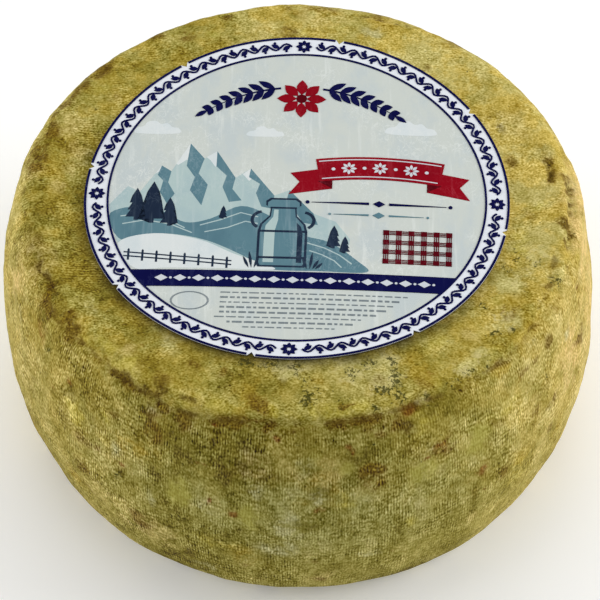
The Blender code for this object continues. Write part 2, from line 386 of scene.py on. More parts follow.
class Graph:
    """A short way to write a material's nodes: each method adds nodes and returns what they put out."""

    def __init__(self, name: str) -> None:
        """Start a material with its own Principled shader.

        Args:
            name: The material's name.
        """
        self.material = bpy.data.materials.new(name)
        self.material.use_nodes = True
        self.tree = self.material.node_tree
        self.shader = self.tree.nodes["Principled BSDF"]

    def feed(self, socket: Socket, source: Feed) -> None:
        """Link a socket to another, or give it a value.

        Args:
            socket: The socket to feed.
            source: Another socket, a number, or the parts of a vector or colour.
        """
        if isinstance(source, bpy.types.NodeSocket):
            self.tree.links.new(source, socket)
        elif isinstance(socket.default_value, float):
            socket.default_value = source
        else:
            socket.default_value = tuple(source)

    def node(self, kind: str, feeds: dict[int | str, Feed], output: int | str = 0, **settings: str) -> Socket:
        """Add a node.

        Args:
            kind: The node's type.
            feeds: What goes into its sockets, by number or name.
            output: Which output is wanted.
            settings: The node's own settings.

        Returns:
            The output.
        """
        made = self.tree.nodes.new(kind)
        for name, value in settings.items():
            setattr(made, name, value)
        for key, source in feeds.items():
            self.feed(made.inputs[key], source)
        return made.outputs[output]

    def position(self) -> Socket:
        """The place on the piece, in metres."""
        return self.node("ShaderNodeTexCoord", {}, "Object")

    def painted(self, name: str) -> Socket:
        """A value painted on the mesh's points."""
        return self.node("ShaderNodeAttribute", {}, "Fac", attribute_name=name)

    def split(self, vector: Socket) -> tuple[Socket, ...]:
        """The three parts of a vector."""
        return tuple(self.node("ShaderNodeSeparateXYZ", {0: vector}).node.outputs)

    def stretch(self, vector: Socket, scale: Triple, shift: Triple = (0, 0, 0)) -> Socket:
        """A vector scaled, then shifted."""
        return self.node("ShaderNodeMapping", {"Vector": vector, "Scale": scale, "Location": shift})

    def math(self, operation: str, first: Feed, *others: Feed) -> Socket:
        """Do arithmetic on a number, or on a row of numbers one after another.

        Args:
            operation: Name of the operation.
            first: The first number.
            others: The numbers that it is done with in turn, if it takes two.

        Returns:
            The result.
        """
        for other in others or (0.0,):
            first = self.node("ShaderNodeMath", {0: first, 1: other}, operation=operation)
        return first

    def times(self, *factors: Feed) -> Socket:
        """Numbers multiplied together."""
        return self.math("MULTIPLY", *factors)

    def plus(self, *terms: Feed) -> Socket:
        """Numbers added up."""
        return self.math("ADD", *terms)

    def off_half(self, value: Socket) -> Socket:
        """A value of 0 to 1 shifted to lie round 0."""
        return self.math("SUBTRACT", value, 0.5)

    def step(self, value: Feed, low: float, high: float, first: Feed = 0.0, last: float = 1.0) -> Socket:
        """Ease from first to last as the value goes from low to high."""
        feeds = dict(enumerate((value, low, high, first, last)))
        return self.node("ShaderNodeMapRange", feeds, interpolation_type="SMOOTHSTEP")

    def mix(self, share: Feed, first: Feed, second: Feed, blend: str = "MIX") -> Socket:
        """Mix two colours."""
        feeds = {0: share, 6: first, 7: second}
        return self.node("ShaderNodeMix", feeds, 2, data_type="RGBA", blend_type=blend)

    def vector(self, operation: str, *sources: Feed) -> Socket:
        """One step of arithmetic on vectors or colours."""
        return self.node("ShaderNodeVectorMath", dict(enumerate(sources)), operation=operation)

    def gamma(self, colour: Socket, power: float) -> Socket:
        """A colour raised to a power."""
        return self.node("ShaderNodeGamma", {0: colour, 1: power})

    def ramp(self, value: Socket, stops: Sequence[tuple[float, Colour]]) -> Socket:
        """Lay colours along a value.

        Args:
            value: The value.
            stops: Values with the colour of each, from the lowest up.

        Returns:
            The colour, blended evenly between stops.
        """
        blended = self.node("ShaderNodeValToRGB", {0: value})
        elements = blended.node.color_ramp.elements
        while len(elements) < len(stops):
            elements.new(0.5)
        for element, (position, colour) in zip(elements, stops):
            element.position = position
            element.color = colour
        return blended

    def bump(self, height: Socket, strength: float, distance: float) -> None:
        """Press a height into the shader's normal."""
        normal = self.node("ShaderNodeBump", {"Strength": strength, "Distance": distance, "Height": height})
        self.feed(self.shader.inputs["Normal"], normal)

    def settle(self, **values: Feed) -> None:
        """Give the shader its colour and other values.

        Args:
            values: Each value under its socket's name in small letters, with underscores for spaces.
        """
        names = {socket.name.lower().replace(" ", "_"): socket for socket in self.shader.inputs}
        for name, value in values.items():
            self.feed(names[name], value)


@dataclass(frozen=True)
class Speckle:
    """Noise over a piece, and the patches that it makes.

    Attributes:
        scale: Swells for each metre.
        detail: How many finer layers the noise has.
        low: Noise at which a patch starts.
        high: Noise at which it is whole.
        first: What the mask gives outside the patches.
        last: What it gives inside them.
        roughness: Strength of the finer layers.
        distortion: How far the swells are bent.
        stretch: How far places are stretched before the noise is read.
        shift: Where the noise is read.
    """

    scale: float
    detail: float
    low: float = 0.0
    high: float = 1.0
    first: float = 0.0
    last: float = 1.0
    roughness: float = 0.5
    distortion: float = 0.0
    stretch: Triple = (1, 1, 1)
    shift: Triple = (0, 0, 0)

    def noise(self, graph: Graph, place: Socket) -> Socket:
        """The noise, of about 0 to 1."""
        feeds = {"Vector": graph.stretch(place, self.stretch, self.shift), "Scale": self.scale,
                 "Detail": self.detail, "Roughness": self.roughness, "Distortion": self.distortion}
        return graph.node("ShaderNodeTexNoise", feeds)

    def swing(self, graph: Graph, place: Socket, width: float) -> Socket:
        """The noise round 0, times a width."""
        return graph.times(graph.off_half(self.noise(graph, place)), width)

    def ease(self, graph: Graph, value: Socket) -> Socket:
        """What the mask gives for a value."""
        return graph.step(value, self.low, self.high, self.first, self.last)

    def mask(self, graph: Graph, place: Socket) -> Socket:
        """What the mask gives for the noise."""
        return self.ease(graph, self.noise(graph, place))


class Tint(Enum):
    """What kind of patch a stain on the rind is."""

    YELLOW = "yellow"
    OCHRE = "ochre"
    PALE = "pale"
    PEACH = "peach"
    GREEN = "green"
    HAZE = "haze"
    BLOOM = "bloom"
    BROWN = "brown"
    DEEP = "deep"
    RUST = "rust"
    MOSS = "moss"


@dataclass(frozen=True)
class Stain:
    """A patch on the rind.

    Attributes:
        azimuth: Azimuth of its middle in degrees.
        arc: Arc of its middle in millimetres.
        along: Half length round the wheel in millimetres.
        across: Half width along the section in millimetres.
        strength: How strong it is at its middle.
    """

    azimuth: float
    arc: float
    along: float
    across: float
    strength: float = 1.0


# Azimuth, arc, half length, half width and strength of each placed stain, as Stain takes them
STAINS: dict[Tint, tuple[tuple[float, ...], ...]] = {
    Tint.YELLOW: (
        (231, -3, 4, 4), (220, -1, 4, 3, 0.7), (255, -3, 6, 3, 0.5), (236, -3, 3, 3, 0.6),
        (245, -4, 5, 3, 0.4), (222, 34, 5, 6), (230, 23, 3, 4, 0.6), (279, 38, 3, 3, 0.7),
        (266, -6, 4, 3, 0.8), (273, -3, 6, 2), (280, -5, 6, 3, 0.7),
    ),
    Tint.OCHRE: (
        (8, -6, 10, 4, 0.8), (356, -4, 8, 4, 0.9), (340, -7, 4, 3), (30, -7, 5, 5, 0.8),
        (92, -8, 6, 2, 0.9), (84, -7, 5, 2, 0.9), (70, -9, 6, 4, 0.9), (298, -12, 5, 6, 1.1),
        (328, -14, 4, 4), (314, 3, 4, 3, 0.7), (281, -18, 3, 3), (287, -10, 3, 3), (275, -16, 1, 1.2, 1.4),
        (318, 14, 2, 2),
    ),
    Tint.PALE: (
        (155, -12, 7, 6, 0.7), (165, -18, 7, 5, 0.8), (174, -14, 6, 4, 0.6), (195, 2, 11, 12, 0.6),
        (221, 35, 4.5, 7, 1.1), (304, 76, 4, 5, 0.8), (205, 40, 16, 22, 0.5), (233, -3, 6, 2.6, 1.1),
        (229, -7, 3, 6, 0.7),
    ),
    Tint.PEACH: (
        (4, 5, 11, 9), (354, 10, 10, 9), (335, 34, 10, 18, 0.5), (350, 40, 18, 24, 0.5),
        (194, 16, 7, 12, 0.5),
    ),
    Tint.GREEN: (
        (247, 44, 4, 7), (261, 49, 4, 7, 1.1), (294, 31, 5, 6, 1.1), (306, 29, 4, 7), (279, 22, 4, 3, 0.8),
        (250, -10, 5, 4, 0.4),
    ),
    Tint.HAZE: (
        (344, -13, 5, 4, 0.8), (336, -16, 5, 4, 0.9), (268, -25, 9, 4, 0.8), (283, -21, 6, 5, 0.8),
        (288, -15, 5, 6), (291, -18, 5, 8), (323, -11, 5, 5), (307, -6, 4, 4), (296, -1, 3, 2),
        (333, -18, 5, 5, 0.8), (312, -7, 4, 4, 0.7),
    ),
    Tint.BLOOM: (
        (233, 37, 3, 4, 0.6), (241, 55, 3, 3, 0.5), (252, 49, 4, 5, 0.5), (268, 53, 5, 6),
        (274, 35, 3, 3, 1.1), (263, 32, 3, 3, 0.8), (271, 19, 3, 4, 0.6), (267, 69, 8, 5, 0.6),
    ),
    Tint.BROWN: (
        (138, -2, 6, 4, 1.2), (146, -3, 6, 3, 1.1), (151, -2, 6, 3, 1.3), (166, -3, 8, 4, 1.3),
        (159, -5, 4, 2.4), (188, -6, 6, 4, 0.4), (193, -19, 4, 3, 0.4), (184, -12, 5, 5, 0.25),
        (12, -8.4, 4, 2.2, 1.3), (7, -9, 3, 2, 1.2), (321, 36, 4, 8, 0.5), (307, 48, 4, 5, 0.4),
        (4, -2, 3.4, 2, 1.3), (1, -1.5, 2.8, 1.6, 1.2), (353, -4.6, 3.4, 2.4, 1.3), (354, -2, 2, 1, 0.8),
        (350, -2.4, 4, 2, 1.2), (335, -3, 4, 2, 1.1), (333, 2, 3, 3, 0.6), (117, -8, 3, 3),
        (106, -7, 2, 2), (122, -5, 3, 3, 0.8), (205, -5, 4, 3), (207, 1, 4, 5), (214, -2, 4, 4),
        (217, 0, 4, 4), (245, -16, 3, 2, 0.8), (227, 31, 2, 3, 0.8), (228, 43, 3, 4, 0.9),
        (224, 64, 4, 4, 0.8), (241, 16, 4, 5, 0.9), (247, 8, 4, 4, 0.8), (238, 74, 4, 5, 0.9),
        (288, 5, 6, 4, 0.9), (284, 25, 4, 3, 1.1), (284, 31, 5, 3, 0.6), (262, -6.5, 4, 4),
        (280, -6, 3, 1.2), (299, 23, 4, 4, 1.1), (253, -16, 3, 2, 0.7), (340, 31, 4, 5), (328, 11, 2, 3),
        (326, 56, 2, 3, 0.8), (312, 56, 4, 4, 0.6),
    ),
    Tint.DEEP: (
        (232, 1, 4, 2), (240, 0, 6, 4), (247, -3, 4, 2, 0.8), (292, 8, 3, 3), (271, 1, 4, 2.4, 0.5),
        (283, 0, 2.4, 1.4, 0.4), (198, -4.4, 2.2, 1, 0.9), (201, -5.3, 2.4, 1, 1),
        (205, -5, 2.6, 1.3, 0.9), (176, -2, 2.2, 0.9, 0.7), (183, -1.4, 2.4, 0.9, 0.7),
        (189, 1, 2, 0.9, 0.6), (353, -4.6, 2.6, 1.4, 1.3), (350, -2.2, 2.4, 1.1, 1.1),
        (4.5, -1.6, 2.4, 1.2, 1.3), (0, -1.5, 2, 1.1, 1.2), (11, -8.8, 2.6, 1.3, 1.1), (7, -9, 2, 1.2, 1),
        (355, -2, 1.8, 1, 1.1),
    ),
    Tint.RUST: (
        (209, 10, 4, 5, 0.4), (234, 44, 1.6, 1.6, 0.7), (251, 26, 1.8, 1), (253, 44, 0.8, 2),
        (258, 47, 1.6, 2, 0.9), (266, 7, 2, 1.4, 1.1), (280, 13, 0.9, 2.4), (274, 42, 2, 1.8, 0.7),
        (292, 0, 2.4, 2.4, 0.7), (299, 22, 2.4, 3, 0.7),
    ),
    Tint.MOSS: (
        (338, -2, 2, 2), (341, -12, 2, 2, 0.8), (293, -21, 2, 4, 1.2), (292, -16, 2, 3, 1.2),
        (292, -12, 2, 3, 1.2), (292, -6, 2, 3, 1.2), (289, -9, 3, 3), (297, -1, 2, 2), (304, -2, 2, 2),
        (307, -3, 2, 2), (319, -10, 2, 2), (322, -6, 2, 2), (312, -2, 2, 2), (337, -24, 2, 2),
        (257, -25, 3, 3), (263, -25, 4, 2), (270, -25, 3, 3), (271, -18, 2, 2), (273, -11, 4, 3, 1.2),
        (283, -21, 3, 2), (288, -22, 3, 3), (279, -6, 2, 1), (274, -17, 1, 1), (286, -3, 2, 2, 0.7),
    ),
}


@dataclass(frozen=True)
class Scatter:
    """How many random stains of one kind lie over the whole rind.

    Attributes:
        tint: What kind of patch they are.
        count: How many there are.
        least: Smallest size in millimetres.
        most: Largest size in millimetres.
        strength: Mean strength.
    """

    tint: Tint
    count: int
    least: float
    most: float
    strength: float


# Azimuth in degrees and place on the ramp of colours there
TOP_TONES = ((0, 0.79), (45, 0.75), (90, 0.70), (135, 0.56), (180, 0.475), (225, 0.53), (270, 0.57),
             (315, 0.585))
SIDE_TONES = ((0, 0.76), (90, 0.66), (190, 0.67), (210, 0.60), (240, 0.49), (270, 0.50), (300, 0.55),
              (330, 0.68))

SCATTERS = (
    Scatter(Tint.YELLOW, 34, 3.0, 8.0, 0.45),
    Scatter(Tint.OCHRE, 50, 3.0, 8.0, 0.6),
    Scatter(Tint.PALE, 40, 4.0, 10.0, 0.6),
    Scatter(Tint.GREEN, 18, 3.0, 7.0, 0.5),
    Scatter(Tint.BLOOM, 22, 2.5, 6.0, 0.5),
    Scatter(Tint.BROWN, 90, 1.6, 5.0, 0.55),
    Scatter(Tint.DEEP, 20, 1.0, 2.4, 0.5),
    Scatter(Tint.RUST, 24, 0.8, 1.8, 0.7),
    Scatter(Tint.MOSS, 24, 1.2, 2.6, 0.8),
)


@dataclass(frozen=True)
class RindFinish:
    """Dry natural rind: olive and ochre mottling, the moulding cloth's threads, and patches of mould.

    A pair named an edge holds the values between which something comes up. Each row of clouds holds
    shift, scale and width, of grains scale and width, and of sways scale, detail and width.
    """

    ramp: tuple[tuple[float, Colour], ...] = (
        (0.26, screen(98, 78, 12)),
        (0.42, screen(130, 114, 27)),
        (0.55, screen(157, 141, 52)),
        (0.68, screen(184, 165, 76)),
        (0.84, screen(206, 186, 99)),
    )
    patch_colours: tuple[tuple[Tint, Colour, float], ...] = (
        (Tint.PALE, screen(208, 188, 112), 0.6),
        (Tint.PEACH, screen(228, 196, 126), 0.8),
        (Tint.YELLOW, screen(202, 186, 78), 0.6),
        (Tint.OCHRE, screen(172, 145, 44), 0.65),
        (Tint.GREEN, screen(176, 168, 76), 0.65),
        (Tint.HAZE, screen(204, 194, 122), 0.7),
        (Tint.BLOOM, screen(186, 181, 128), 0.7),
        (Tint.BROWN, screen(110, 83, 2), 0.82),
        (Tint.RUST, screen(120, 68, 0), 0.8),
        (Tint.DEEP, screen(92, 70, 0), 0.84),
    )
    patch_edge: Pair = (0.08, 0.90)
    ragged: Speckle = Speckle(130, 6, 0.34, 0.66, 0.2, 1.8, 0.68)
    clouds: tuple[tuple[Triple, float, float], ...] = (
        ((0, 0, 0), 34, 0.52), ((3.1, 1.7, 0.4), 90, 0.56), ((0.3, 5.2, 2.0), 210, 0.40))
    cloud_stretch: Triple = (1, 1, 0.8)
    hue: Speckle = Speckle(70, 4, 0.40, 0.60, roughness=0.65, stretch=(1, 1, 0.8), shift=(6, 3, 8))
    side_cool: float = 0.65
    warm: Colour = (1.03, 0.98, 0.84, 1.0)
    cool: Colour = (0.95, 1.02, 1.30, 1.0)
    ash: Colour = (1.12, 1.22, 2.0, 1.0)
    blush: Colour = (1.03, 0.94, 0.93, 1.0)
    top_grains: tuple[Pair, ...] = ((1500, 0.48), (800, 0.12), (390, 0.11), (230, 0.08))
    side_grains: tuple[Pair, ...] = ((1500, 0.50), (800, 0.12), (390, 0.10), (230, 0.08))
    top_stretch: Triple = (0.8, 1.0, 1.0)
    top_shift: Triple = (2, 6, 1)
    side_stretch: Triple = (1.0, 1.0, 0.5)
    ribs: float = 652
    rib_stretch: Triple = (1, 1, 0.45)
    rib_sways: tuple[Triple, ...] = ((90, 1, 9.0), (300, 1, 6.5))
    rib_patch: Speckle = Speckle(60, 2, 0.36, 0.60, 0.02, 0.08)
    rib_dash: Speckle = Speckle(260, 2, 0.36, 0.60, 0.4, 1.3)
    weft_pitch: float = 0.0026
    weft_sways: tuple[Triple, ...] = ((190, 2, 11.0),)
    weft_patch: Speckle = Speckle(70, 2, 0.42, 0.62, 0.0, 0.05, shift=(3, 3, 3))
    row_pitch: float = 0.00125
    row_stretch: Triple = (0.5, 1, 1)
    row_sways: tuple[Triple, ...] = ((80, 1, 12.0), (260, 1, 4.0))
    row_patch: Speckle = Speckle(50, 2, 0.44, 0.66, 0.005, 0.035, distortion=0.4)
    side_ragged: float = 0.5
    side_edge: Pair = (0.7, 1.3)
    pits: Speckle = Speckle(480, 1, 0.58, 0.72, 0.0, 0.08, stretch=(1, 1, 0.8), shift=(9, 1, 2))
    worn: Speckle = Speckle(75, 3, 0.38, 0.62, 0.7, 1.15, shift=(9, 1, 2))
    soft_edge: Pair = (0.1, 0.8)
    soft_bite: float = 0.5
    screen_gamma: float = 2.2
    darkest: Triple = (0.10, 0.08, 0.0)
    dark_keep: Triple = (4.0, 4.0, 5.5)
    glint: Colour = screen(214, 200, 118)
    glints: Speckle = Speckle(700, 1, 0.60, 0.74, 0.0, 0.12, 0.6, stretch=(1, 1, 0.5), shift=(4, 4, 4))
    hazy_glints: float = 0.07
    cream: Colour = screen(214, 200, 134)
    flecks: Speckle = Speckle(300, 3, 0.50, 0.64, 0.0, 0.7, 0.62, shift=(2, 8, 3))
    haze_edge: Pair = (0.1, 0.5)
    moss: Colour = screen(62, 61, 6)
    moss_most: float = 0.88
    blobs: Speckle = Speckle(700, 2, 0.67, 0.79, roughness=0.6, shift=(7, 2, 5))
    mossy_blobs: float = 0.24
    curls: Speckle = Speckle(330, 2, 0.0, 0.035, 1.0, 0.0, distortion=0.8, shift=(7, 2, 5))
    curl_edge: Pair = (0.30, 0.60)
    # Painted shade in the crease and the rim hollows, mixed with the brown of the mould there
    shadow: Colour = screen(76, 54, 0)
    hollow_edge: Pair = (0.15, 0.95)
    hollow_most: float = 0.5
    # Painted shadow on the rind in front of the label's edge: its colour, ragged edge and strength
    hem: Colour = screen(40, 31, 8)
    hem_ragged: tuple[float, float, float, float] = (0.2, 1.8, 0.75, 1.1)
    hem_most: float = 0.74
    roughness: float = 0.84
    shine: float = 0.16
    bump_share: float = 0.6
    bump_strength: float = 0.5
    bump_depth: float = 0.0003

    def grains(self, graph: Graph, place: Socket, rows: Sequence[Pair]) -> Socket:
        """Light and dark grains of several sizes, added up round 0."""
        sizes = [(Speckle(scale, 0, shift=(scale, 0.5, 0.9)), width) for scale, width in rows]
        return graph.plus(*(speckle.swing(graph, place, width) for speckle, width in sizes))

    def wave(self, graph: Graph, place: Socket, phase: Socket, rows: Sequence[Triple]) -> Socket:
        """Threads side by side that sway with noise of several sizes, round 0."""
        sways = [(Speckle(scale, detail), width) for scale, detail, width in rows]
        sways = [graph.times(speckle.noise(graph, place), width) for speckle, width in sways]
        return graph.math("SINE", graph.plus(phase, *sways))

    def side_threads(self, graph: Graph, place: Socket) -> Socket:
        """Write the cloth on the side: upright threads broken into dashes, faint ones across, and grains.

        Args:
            graph: The material's nodes.
            place: The place on the rind.

        Returns:
            Lightness round 0.
        """
        x, y, z = graph.split(place)
        turn = graph.times(graph.math("ARCTAN2", x, graph.times(y, -1.0)), self.ribs)
        ribs = self.wave(graph, graph.stretch(place, self.rib_stretch), turn, self.rib_sways)
        ribs = graph.times(ribs, self.rib_patch.mask(graph, place), self.rib_dash.mask(graph, place),
                           graph.painted("ribs"))
        weft = self.wave(graph, place, graph.times(z, math.tau / self.weft_pitch), self.weft_sways)
        weft = graph.times(weft, self.weft_patch.mask(graph, place))
        grains = self.grains(graph, graph.stretch(place, self.side_stretch), self.side_grains)
        return graph.plus(grains, ribs, weft)

    def top_threads(self, graph: Graph, place: Socket) -> Socket:
        """Write the cloth on the top: fine rows seen in patches, and grains.

        Args:
            graph: The material's nodes.
            place: The place on the rind.

        Returns:
            Lightness round 0.
        """
        across = graph.times(graph.split(place)[1], math.tau / self.row_pitch)
        rows = self.wave(graph, graph.stretch(place, self.row_stretch), across, self.row_sways)
        rows = graph.times(rows, self.row_patch.mask(graph, place), graph.painted("rows"))
        place = graph.stretch(place, self.top_stretch, self.top_shift)
        return graph.plus(self.grains(graph, place, self.top_grains), rows)

    def mottles(self, graph: Graph, place: Socket) -> Socket:
        """Write the colours of the bare rind: clouds of olive, tan and straw.

        Args:
            graph: The material's nodes.
            place: The place on the rind.

        Returns:
            The colour.
        """
        tone = graph.painted("tone")
        for shift, scale, width in self.clouds:
            cloud = Speckle(scale, 3, roughness=0.6, distortion=0.3, stretch=self.cloud_stretch, shift=shift)
            tone = graph.plus(tone, cloud.swing(graph, place, width))
        least = graph.times(graph.painted("cool"), self.side_cool)
        hue = graph.step(self.hue.noise(graph, place), self.hue.low, self.hue.high, least)
        colour = graph.mix(1.0, graph.ramp(tone, self.ramp), graph.mix(hue, self.warm, self.cool), "MULTIPLY")
        colour = graph.mix(graph.painted("ash"), colour, self.ash, "MULTIPLY")
        return graph.mix(graph.painted("blush"), colour, self.blush, "MULTIPLY")

    def grained(self, graph: Graph, colour: Socket, level: Socket) -> Socket:
        """Lighten and darken a colour evenly as a screen shows it, and less where it is dark.

        Args:
            graph: The material's nodes.
            colour: The colour.
            level: Lightness round 0.

        Returns:
            The new colour.
        """
        shown = graph.gamma(colour, 1 / self.screen_gamma)
        keep = graph.vector("MINIMUM", graph.vector("MULTIPLY", shown, self.dark_keep), (1.0, 1.0, 1.0))
        shown = graph.vector("ADD", shown, graph.vector("MULTIPLY", keep, level))
        return graph.gamma(graph.vector("MAXIMUM", shown, self.darkest), self.screen_gamma)

    def mould(self, graph: Graph, place: Socket, colour: Socket, ragged: Socket) -> Socket:
        """Lay glints, pale flecks and moss over a colour.

        Args:
            graph: The material's nodes.
            place: The place on the rind.
            colour: The colour.
            ragged: The mask that makes patches ragged.

        Returns:
            The new colour.
        """
        hazy, mossy = graph.painted(Tint.HAZE.value), graph.painted(Tint.MOSS.value)
        crumbs = graph.plus(graph.times(hazy, self.hazy_glints), self.glints.noise(graph, place))
        colour = graph.mix(self.glints.ease(graph, crumbs), colour, self.glint)
        flecks = graph.times(self.flecks.mask(graph, place), graph.step(hazy, *self.haze_edge))
        colour = graph.mix(flecks, colour, self.cream)
        blobs = graph.plus(self.blobs.noise(graph, place), graph.times(mossy, self.mossy_blobs))
        curls = graph.math("ABSOLUTE", graph.off_half(self.curls.noise(graph, place)))
        curled = graph.step(graph.times(mossy, ragged), *self.curl_edge)
        curls = graph.times(self.curls.ease(graph, curls), curled)
        moss = graph.times(graph.math("MAXIMUM", self.blobs.ease(graph, blobs), curls), self.moss_most)
        return graph.mix(moss, colour, self.moss)

    def material(self) -> bpy.types.Material:
        """Write the rind's material.

        Returns:
            The material.
        """
        graph = Graph("rind")
        place = graph.position()
        ragged = self.ragged.mask(graph, place)
        colour = self.mottles(graph, place)
        for tint, paint, most in self.patch_colours:
            share = graph.times(graph.painted(tint.value), ragged)
            colour = graph.mix(graph.step(share, *self.patch_edge, 0.0, most), colour, paint)
        side = graph.plus(graph.painted("side"), graph.times(ragged, self.side_ragged))
        threads = graph.mix(graph.step(side, *self.side_edge), self.top_threads(graph, place),
                            self.side_threads(graph, place))
        soft = graph.math("MAXIMUM", graph.painted(Tint.GREEN.value), graph.painted(Tint.PEACH.value))
        soft = graph.step(soft, *self.soft_edge, 1.0, self.soft_bite)
        bite = graph.times(soft, self.worn.mask(graph, place), graph.painted("crisp"))
        level = graph.times(graph.math("SUBTRACT", threads, self.pits.mask(graph, place)), bite)
        colour = self.mould(graph, place, self.grained(graph, colour, level), ragged)
        # Painted shade, with the mould's brown, in the crease and the rim hollows
        hollow = graph.times(graph.painted("hollow"), ragged)
        colour = graph.mix(graph.step(hollow, *self.hollow_edge, 0.0, self.hollow_most), colour, self.shadow)
        # Painted shadow on the rind in front of the label's edge
        hem = graph.times(graph.painted("hem"), graph.step(ragged, *self.hem_ragged), self.hem_most)
        graph.settle(base_color=graph.mix(hem, colour, self.hem), roughness=self.roughness,
                     specular_ior_level=self.shine)
        graph.bump(graph.times(threads, self.bump_share), self.bump_strength, self.bump_depth)
        return graph.material


@dataclass(frozen=True)
class Lobe:
    """A share that is highest at one azimuth.

    Attributes:
        azimuth: That azimuth in degrees.
        spread: Half width of its hump in radians.
        most: The share there.
    """

    azimuth: float
    spread: float
    most: float = 1.0

    def at(self, azimuth: np.ndarray) -> np.ndarray:
        """The share at each azimuth in radians."""
        return self.most * bell(azimuth_gap(azimuth, self.azimuth), self.spread)


@dataclass
class CheeseWheel:
    """The cheese: a turned mesh, made uneven as its solid is, with finer relief and painted patches.

    The label hides the top face within calm_radius, so that it is left coarse there. Each row of warps
    holds the size and reach of a noise that bends the stains, and scatter_arcs is in millimetres. A field
    that ends in edge holds the values between which something comes up. One that ends in facing holds an
    azimuth, and the degrees within and beyond which something comes up round it. The bands and lines hold
    a middle and a half width, and lip_yellow holds a strength before them.
    """

    form: WheelForm
    finish: RindFinish = field(default_factory=RindFinish)
    columns: int = 720
    top_rows: int = 20
    fillet_rows: int = 16
    side_rows: int = 78
    base_rows: int = 8
    calm_radius: float = 0.0800
    base_ring: float = 0.6
    grain: Swell = (0.0058, (2.0, 2.0, 2.0))
    grain_rise: float = 0.00030
    pore: Swell = (0.0024, (8.0, 1.0, 3.0))
    pore_rise: float = 0.00012
    grain_fade: float = 0.0050
    low_side: Pair = (0.030, 0.085)
    cool_side: float = 0.85
    cool_front: Lobe = Lobe(-90, 0.8, 1.1)
    cool_top: Lobe = Lobe(-84.27, 0.45, 0.9)
    ash_band: Pair = (0.066, 0.026)
    ash_front: Lobe = Lobe(-90, 0.6)
    top_blush: float = 0.15
    blush_lobes: tuple[Lobe, ...] = (Lobe(0, 0.8), Lobe(200, 0.6, 0.6))
    least_rows: float = 0.6
    rows_left: Lobe = Lobe(180, 0.9, 1.6)
    crisp_left: Lobe = Lobe(190, 0.7, 0.14)
    crisp_side: Lobe = Lobe(236, 0.45, 0.16)
    broken: Swell = (0.0034, (4.0, 9.0, 1.0))
    broken_edge: Pair = (-0.25, 0.35)
    crease_hollow: Pair = (0.6, 0.8)
    mark_hollow: float = 0.8
    # Reach and facing of the painted shadow in front of the label's edge
    hem_width: float = 0.0041
    hem_facing: Triple = (256, 28, 115)
    rib_edge: Pair = (0.002, 0.018)
    rib_lead: float = 0.010
    stained: Swell = (0.009, (3.0, 1.0, 6.0))
    stained_edge: Pair = (-0.2, 0.3)
    stained_shares: Pair = (0.45, 0.75)
    least_stained: float = 0.3
    stained_left: Lobe = Lobe(255, 0.75, 0.75)
    stained_line: Pair = (0.0008, 0.0028)
    lip_yellow: Triple = (0.5, -0.0050, 0.0035)
    lip_facing: Triple = (-90, 38, 70)
    warps: tuple[Pair, ...] = ((0.010, 0.0028), (0.004, 0.0016))
    along_shifts: tuple[Triple, ...] = ((1.0, 4.0, 2.0), (2.0, 2.0, 7.0))
    arc_shifts: tuple[Triple, ...] = ((5.0, 3.0, 8.0), (6.0, 1.0, 3.0))
    scatter_arcs: Pair = (-24, 96)
    random_seed: int = 11
    side_blend: float = 0.0022
    stain_fall: float = 0.7

    def fillet(self, edge: float, centre: float, fillet: float, turns: Pair, rows: int) -> list[Point2]:
        """Trace a rounded rim in the half section.

        Args:
            edge: Distance of its outermost point from the axis.
            centre: Height of its centre.
            fillet: Its radius.
            turns: Angles of its first and last point.
            rows: Stretches that it is divided into.

        Returns:
            Its points in order.
        """
        first, last = (math.degrees(turn) for turn in turns)
        return arc_points(fillet, first, last, rows, (edge - fillet, centre))

    def profile(self) -> list[Point2]:
        """Trace the half section from the top's centre over the rim and down to the base's centre.

        Returns:
            Its points in order.
        """
        form, bare = self.form, self.calm_radius
        top_flat, base_flat = form.top_edge - form.top_fillet, form.base_edge - form.base_fillet
        points = [(0.0, form.height), (bare / 2, form.height)]
        reaches = [bare + (top_flat - bare) * row / self.top_rows for row in range(self.top_rows)]
        points += [(reach, form.height) for reach in reaches]
        points += self.fillet(form.top_edge, form.height - form.top_fillet, form.top_fillet,
                              (QUARTER, form.fillet_meets_side), self.fillet_rows)
        high = points[-1][1]
        low = form.base_fillet * (1 - math.sin(form.fillet_meets_side))
        heights = [high + (low - high) * row / self.side_rows for row in range(1, self.side_rows)]
        points += [(form.side_radius(height), height) for height in heights]
        points += self.fillet(form.base_edge, form.base_fillet, form.base_fillet,
                              (-form.fillet_meets_side, -QUARTER), self.base_rows)
        return points + [(base_flat * self.base_ring, 0.0), (0.0, 0.0)]

    def stains(self) -> list[tuple[Tint, Stain]]:
        """Gather the placed stains, and draw random ones over the whole rind.

        Returns:
            Each stain with its tint.
        """
        stains = [(tint, Stain(*row)) for tint, rows in STAINS.items() for row in rows]
        draw = random.Random(self.random_seed)
        for scatter in SCATTERS:
            for _ in range(scatter.count):
                size = draw.uniform(scatter.least, scatter.most)
                azimuth = draw.uniform(0, 360)
                arc = draw.uniform(*self.scatter_arcs)
                shape = (size * draw.uniform(0.8, 1.5), size * draw.uniform(0.6, 1.2))
                strength = scatter.strength * draw.uniform(0.6, 1.2)
                stains.append((scatter.tint, Stain(azimuth, arc, *shape, strength)))
        return stains

